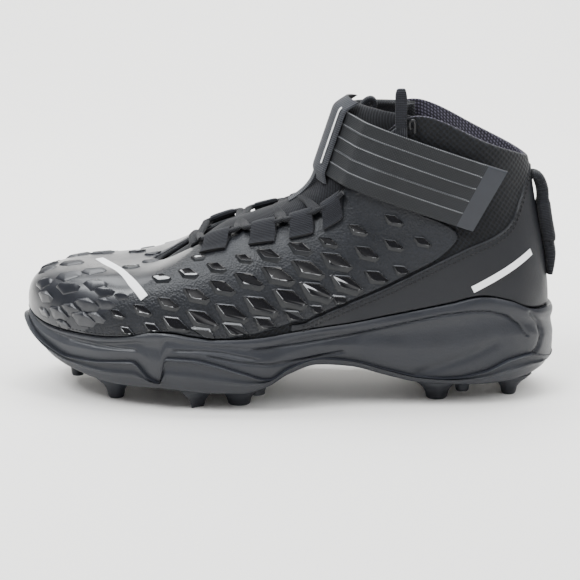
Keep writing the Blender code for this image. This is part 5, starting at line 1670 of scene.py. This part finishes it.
def build_tongue_cover():
    """The knit panel between the tongue and the strap, and the plain light bar on it."""
    line = taut_line(STRAP_THICKNESS + 2 * STRAP_CLEARANCE + COVER / 2 + GAP)
    line = line[line[:, 0] < STRAP_INNER_END * LENGTH / 2]
    line = line[np.argsort(line[:, 1])]
    rows, shares = np.linspace(7, 10.5, 71)[:, None], np.linspace(-1, 1, 61)[None, :]
    tongue = in_strap_frame(tongue_surface(rows, shares)).reshape(-1, 3)
    half = STRAP_WIDTH / 2
    middle = tongue_crest(np.array(9.0))[1]
    heights = np.linspace(-half - COVER_BELOW, half + COVER_ABOVE, 44)
    widths = np.linspace(-COVER_HALF, COVER_HALF, 27)
    reach = np.zeros((len(widths), len(heights)))
    for a, width in enumerate(widths):
        for b, height in enumerate(heights):
            y = width + middle
            near = np.hypot(tongue[:, 1] - y, tongue[:, 2] - height) < COVER_REACH
            skin = tongue[near, 0].min() if near.any() else COVER_DEEPEST
            past = max(0.0, abs(height) - half)
            over = np.interp(y, line[:, 1], line[:, 0]) + past * 0.8
            reach[a, b] = min(over, skin - COVER / 2 - 2 * GAP)
    for _ in range(3):
        reach[:, 1:-1] = (reach[:, :-2] + reach[:, 1:-1] * 2 + reach[:, 2:]) / 4
        reach[1:-1] = (reach[:-2] + reach[1:-1] * 2 + reach[2:]) / 4

    def face_line(b, shift):
        return [from_strap_frame(reach[a, b] + shift, w + middle, heights[b]) for a, w in enumerate(widths)]

    rows = range(len(heights))
    profiles = [np.array(face_line(b, -COVER / 2) + face_line(b, COVER / 2)[::-1]) for b in rows]
    cover = loft("tongue_cover_dressed", profiles, [COVER_KNIT], angle=60)
    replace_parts(cover, "tongue_cover")
    bar = []
    for b in range(*TONGUE_BAR_ROWS):
        face = np.interp(TONGUE_BAR_SIDE, widths, reach[:, b]) - COVER / 2
        bar.append(from_strap_frame(face, middle + TONGUE_BAR_SIDE, heights[b]))
    band = sweep(bar, TONGUE_BAR_WIDTH, 0.0008, (0, 1, 0), 6.0, 16)
    loft("tongue_bar", band, [WHITE], angle=50)


def build_lace_loop(name, row):
    """A webbing loop, folded round the lace, with both ends sewn to the skin."""
    grid = []
    for part in np.linspace(-1, 1, len(LOOP_PUFF)):
        u = row + part * LOOP_WIDTH / 2 / row_speed(row)
        point, down, out, _ = throat_frame(u)
        column = []
        for reach, height in LOOP_FOLD:
            reach, height = reach * LOOP_LENGTH, LOOP_CLEARANCE + WEBBING / 2 + height * LOOP_BORE * FOLD_FLAT
            if reach < 0:
                column.append(point + down * reach + out * height)
            else:
                column.append(on_upper(u, below_throat(u, LOOP_SEAT + reach), SKIN_HEIGHT + SKIN + height))
        grid.append(smooth_path(column, 46))
    grid = np.array(grid)
    normal = unit(np.cross(np.gradient(grid, axis=0), np.gradient(grid, axis=1)))
    half = WEBBING * np.array(LOOP_PUFF)[:, None, None]
    outer, inner = grid + normal * half, grid - normal * half
    profiles = np.concatenate([outer, inner[::-1]], 0).transpose(1, 0, 2)
    loop = loft(name + "_dressed", profiles, [WEBBING_FINISH], angle=60)
    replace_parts(loop, name)


def build_laces():
    """The two strands of the zigzag and the bar across the throat's foot."""
    shares = np.linspace(0.94, -0.94, 9)
    front = LACE_LOOPS[0] - lace_run(LACE_LOOPS[0]) - 0.35
    middle = tongue_surface(front, shares) + tongue_normal(front, shares) * LACE * 1.4
    first = [lace_in_loop(1, LACE_LOOPS[0])[0], *middle[1:-1], lace_in_loop(-1, LACE_LOOPS[0])[0]]
    strands = []
    for number, (route, count) in enumerate(((lace_route(1), 190), (lace_route(-1), 190), (first, 40))):
        path = smooth_path(route, count)
        side = np.cross(np.gradient(path, axis=0), LACE_FACE)
        profiles = sweep(path, LACE * LACE_WIDE, LACE * LACE_THICK, side, 2.4, 14)
        strands.append(loft(f"strand_{number}", profiles, [LACE_FINISH]))
    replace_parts(joined("laces_dressed", strands), "lace_crossings")


def build_heel_pull():
    """The heel pull, which hugs the heel, with the thicker sleeve round its middle."""
    middle = np.array([(along_x(a), 0.0, rise_z(r)) for a, r, _ in PULL_LINE])
    back = on_upper(np.full(101, ROWS - 1.0), np.linspace(0, 1, 101), np.full(101, GAP + OVERLAY))
    for k, (_, _, part) in enumerate(PULL_LINE):
        ahead = middle[min(k + 1, len(middle) - 1)] - middle[max(k - 1, 0)]
        square = np.array([-ahead[2], 0.0, ahead[0]]) / np.linalg.norm(ahead)
        reach = abs(square[0]) * part * PULL_THICKNESS / 2 + GAP
        nearest = float(np.interp(middle[k, 2], back[:, 2], back[:, 0])) + reach
        middle[k, 0] = max(middle[k, 0] - PULL_FORWARD, nearest)
    path = smooth_path(middle, 160)
    run = lengths_along(path)
    places = run[np.argmin(np.linalg.norm(path[:, None] - middle[None, :], axis=2), axis=0)]
    sizes = [SLEEVE_SIZE if part > SLEEVE_PART else part * 1.1 for _, _, part in PULL_LINE]
    part = np.interp(run, places, sizes)
    part = np.convolve(np.pad(part, 4, mode="edge"), np.ones(9) / 9, mode="valid")
    sleeve = ease(part, 1.03, 1.11)
    ribs = 1 + (1 - sleeve) * 0.03 * np.sin(run * 2 * math.pi / RIB_PITCH)
    wide = (PULL_WIDTH + SLEEVE_EXTRA * sleeve) * ribs
    band = sweep(path, wide, part * PULL_THICKNESS * ribs, (0, 1, 0), 3.0, 24)
    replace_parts(loft("heel_pull_dressed", band, [WEBBING_FINISH], angle=50), "heel_pull")


def build_collar_pull():
    """The folded ribbon on the collar, the knit patch under it and the eyelet behind it."""
    clear = RIBBON / 2 + RIBBON_CLEARANCE
    outer = [on_upper(COLLAR_PULL_ROW, v, clear) for v in (0.980, 0.990, 1.0)]
    edge = upper_surface(COLLAR_PULL_ROW, 1.0)
    up = unit(outer[2] - outer[0])
    inward = np.array([0.0, 1.0, 0.0])
    crown = [outer[2] + up * COLLAR_PULL_HEIGHT * high + inward * RIBBON * deep for high, deep in COLLAR_FOLD]
    foot = edge + up * COLLAR_PULL_FOOT + inward * RIBBON * 1.4
    path = smooth_path([*outer, *crown, foot], 60)
    tall = (path - outer[2]) @ up / COLLAR_PULL_HEIGHT
    wide = RIBBON_WIDTH * (0.56 + 0.38 * np.sqrt(1 - ease(tall, 0.72, 1.0) ** 2))
    band = sweep(path, wide, RIBBON * 1.15, np.cross(up, inward), 3.0, 16)
    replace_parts(loft("collar_pull_dressed", band, [WEBBING_FINISH]), "collar_pull")
    u = np.linspace(*PATCH_ROWS, PATCH_COUNT)
    v = np.linspace(*PATCH_CLIMB, PATCH_COUNT)[None, :].repeat(PATCH_COUNT, 0)
    patch = patch_profiles(u, v, GAP, PATCH_THICKNESS, PATCH_EDGE)
    loft("collar_patch", patch, [COVER_KNIT])
    cord = smooth_path([on_upper(row, climb, EYELET_HEIGHT) for row, climb in EYELET_LINE], 40)
    loft("collar_eyelet", sweep(cord, EYELET_CORD, EYELET_CORD, (0, 1, 0), 2.0, 12), [EYELET])


def build_tongue_tail():
    """The knit that runs down from the tongue's cover."""
    rows = np.linspace(*TAIL_ROWS, 40)[:, None]
    shares = np.linspace(*TAIL_SHARES, 14)[None, :]
    front, lift = tongue_surface(rows, shares), tongue_normal(rows, shares)
    tail = np.concatenate([front + lift * TAIL_HEIGHT, (front + lift * GAP)[:, ::-1]], 1)
    loft("tongue_tail", tail, [COVER_KNIT], angle=50)


def build_tongue_pull():
    """The folded ribbon on the tongue's top."""
    last = TONGUE_SHAPE[-1][0]
    top = tongue_crest(np.array(last))
    out = tongue_normal(np.array(last), np.array(0.0))
    up = unit(top - tongue_crest(np.array(last - 0.3)))
    foot = top - out * (TONGUE + GAP + RIBBON / 2 + TONGUE_PULL_CLEARANCE)
    rise, depth = up * TONGUE_PULL_HEIGHT, out * TONGUE_FOLD_DEPTH
    line = [foot + rise * high - depth * deep for high, deep in TONGUE_FOLD]
    band = sweep(smooth_path(line, 50), RIBBON_WIDTH, RIBBON * 2.4, (0, 1, 0), 3.0, 16)
    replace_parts(loft("tongue_pull_dressed", band, [WEBBING_FINISH]), "tongue_pull")


def build_stitches():
    """Two rows of stitches along the heel overlay's upper edge."""
    step = 0.02
    lines = []
    for back_off in OVERLAY_SEAMS:
        for side in (1, -1):
            u = np.linspace(OVERLAY_ENDS + 0.2, ROWS - 1.3, 240)
            top = overlay_top(side * u)
            drop = np.linalg.norm(upper_surface(side * u, top) - upper_surface(side * u, top - step), axis=1)
            v = top - back_off * step / drop
            lines.append((on_upper(side * u, v, GAP + OVERLAY), upper_normal(side * u, v)))
    dashes("heel_overlay_stitches", lines, *OVERLAY_STITCH, "heel_leather")


def build_rim_stitches():
    """A row of stitches along the skin's lower edge."""
    lines = []
    for side in (1, -1):
        u = np.linspace(2.4, OVERLAY_ENDS - 0.6, 260)
        v = above_rim(side * u) + VAMP_SEAM
        lines.append((on_upper(side * u, v, SKIN_HEIGHT + SKIN), upper_normal(side * u, v)))
    dashes("vamp_stitches", lines, *VAMP_STITCH, "moulded_skin")


# Area lights: name, place, aim, width and height, and power
LIGHTS = (
    ("key", (-0.9, -0.7, 1.6), (0, 0, 0.08), (1.0, 0.6), 33),
    ("strip", (0.1, -0.45, 1.5), (0, 0, 0.08), (2.2, 0.22), 9),
    ("fill", (1.2, -0.9, 1.4), (0, 0, 0.08), (0.5, 1.0), 17),
    ("top", (0, 0.6, 1.9), (0, 0.1, 0.0), (2.2, 1.0), 48),
    ("wall", (0, 0.2, 1.2), (0, 1.7, 0.6), (2.4, 0.6), 28),
    ("front", (0.1, -1.5, 0.30), (0, 0, 0.01), (1.8, 0.3), 1.2),
)
LIGHT_COLOUR = (0.95, 0.98, 1.0)

# The surroundings' colours by height, from the horizon at 0 to straight up at 1
SKY = ((0.0, (0.30, 0.30, 0.31)), (0.50, (0.17, 0.17, 0.18)), (0.78, (1.0, 1.0, 1.0)), (1.0, (1.3, 1.3, 1.3)))
SKY_STRENGTH = 1.18

# The floor: half its width, its front and back edge, the radius of the bend behind it and the wall's height
FLOOR_HALF = 4.0
FLOOR_FRONT = -3.0
FLOOR_BACK = 0.9
BEND = 0.8
WALL_TOP = 3.5


def add_light(name, place, aim, size, power):
    light = bpy.data.lights.new(name, "AREA")
    light.energy = power
    light.color = LIGHT_COLOUR
    light.shape = "RECTANGLE"
    light.size, light.size_y = size
    obj = bpy.data.objects.new(name, light)
    obj.location = place
    obj.rotation_euler = (Vector(aim) - Vector(place)).to_track_quat("-Z", "Y").to_euler()
    bpy.context.scene.collection.objects.link(obj)


def build_stage():
    """The floor that bends up into a wall, the surroundings and the lights."""
    made = bmesh.new()
    turns = np.linspace(0.1, math.pi / 2, 12)
    bend = [(FLOOR_BACK + BEND * math.sin(t), BEND - BEND * math.cos(t)) for t in turns]
    profile = [(FLOOR_FRONT, 0.0), (FLOOR_BACK, 0.0), *bend, (FLOOR_BACK + BEND, WALL_TOP)]
    rows = [[made.verts.new((x, y, z)) for y, z in profile] for x in (-FLOOR_HALF, FLOOR_HALF)]
    for k in range(len(profile) - 1):
        made.faces.new((rows[0][k], rows[1][k], rows[1][k + 1], rows[0][k + 1]))
    mesh = bpy.data.meshes.new("studio_floor")
    made.to_mesh(mesh)
    made.free()
    mesh.polygons.foreach_set("use_smooth", [True] * len(mesh.polygons))
    finish, _, _ = shader_tree("studio_floor", (0.88, 0.86, 0.83), 0.6, specular=0.25)
    mesh.materials.append(finish)
    obj = bpy.data.objects.new("studio_floor", mesh)
    bpy.context.scene.collection.objects.link(obj)
    world = bpy.data.worlds.new("studio")
    world.use_nodes = True
    tree = world.node_tree
    place = node(tree, "ShaderNodeTexCoord", {})["Generated"]
    height = node(tree, "ShaderNodeSeparateXYZ", {"Vector": place})["Z"]
    tree.links.new(ramp(tree, height, SKY), tree.nodes["Background"].inputs["Color"])
    tree.nodes["Background"].inputs["Strength"].default_value = SKY_STRENGTH
    bpy.context.scene.world = world
    for light in LIGHTS:
        add_light(*light)


# The camera that fits the photo: its place, its tilt down, and its focal length and picture width in pixels
CAMERA_PLACE = (0, -1.0, 0.34)
CAMERA_TILT = 15.69
FOCAL_PIXELS = 1735
PICTURE_PIXELS = 580
SENSOR_WIDTH = 36


def build_camera():
    camera = bpy.data.cameras.new("camera")
    camera.sensor_width = SENSOR_WIDTH
    camera.lens = SENSOR_WIDTH * FOCAL_PIXELS / PICTURE_PIXELS
    camera.clip_start = 0.01
    obj = bpy.data.objects.new("camera", camera)
    obj.location = CAMERA_PLACE
    obj.rotation_euler = (math.radians(90 - CAMERA_TILT), 0, 0)
    bpy.context.scene.collection.objects.link(obj)
    bpy.context.scene.camera = obj


build_camera()
build_stage()
skin_piece = build_skin()
build_pods(skin_piece)
build_bar("toe_bar", TOE_BAR, skin_piece, TOE_BAR_WIDTH)
build_rim_stitches()
build_bar("heel_bar", HEEL_BAR, build_heel_overlay(), HEEL_BAR_WIDTH)
build_stitches()
build_upper()
build_insole()
build_midsole()
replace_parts(build_outsole(), "outsole")
build_studs()
build_strap()
build_tongue()
build_tongue_cover()
for number, loop_row in enumerate(LACE_LOOPS, 1):
    build_lace_loop(f"lace_loop_outer_{number}", loop_row)
    build_lace_loop(f"lace_loop_inner_{number}", -loop_row)
build_laces()
build_heel_pull()
build_collar_pull()
build_tongue_tail()
build_tongue_pull()
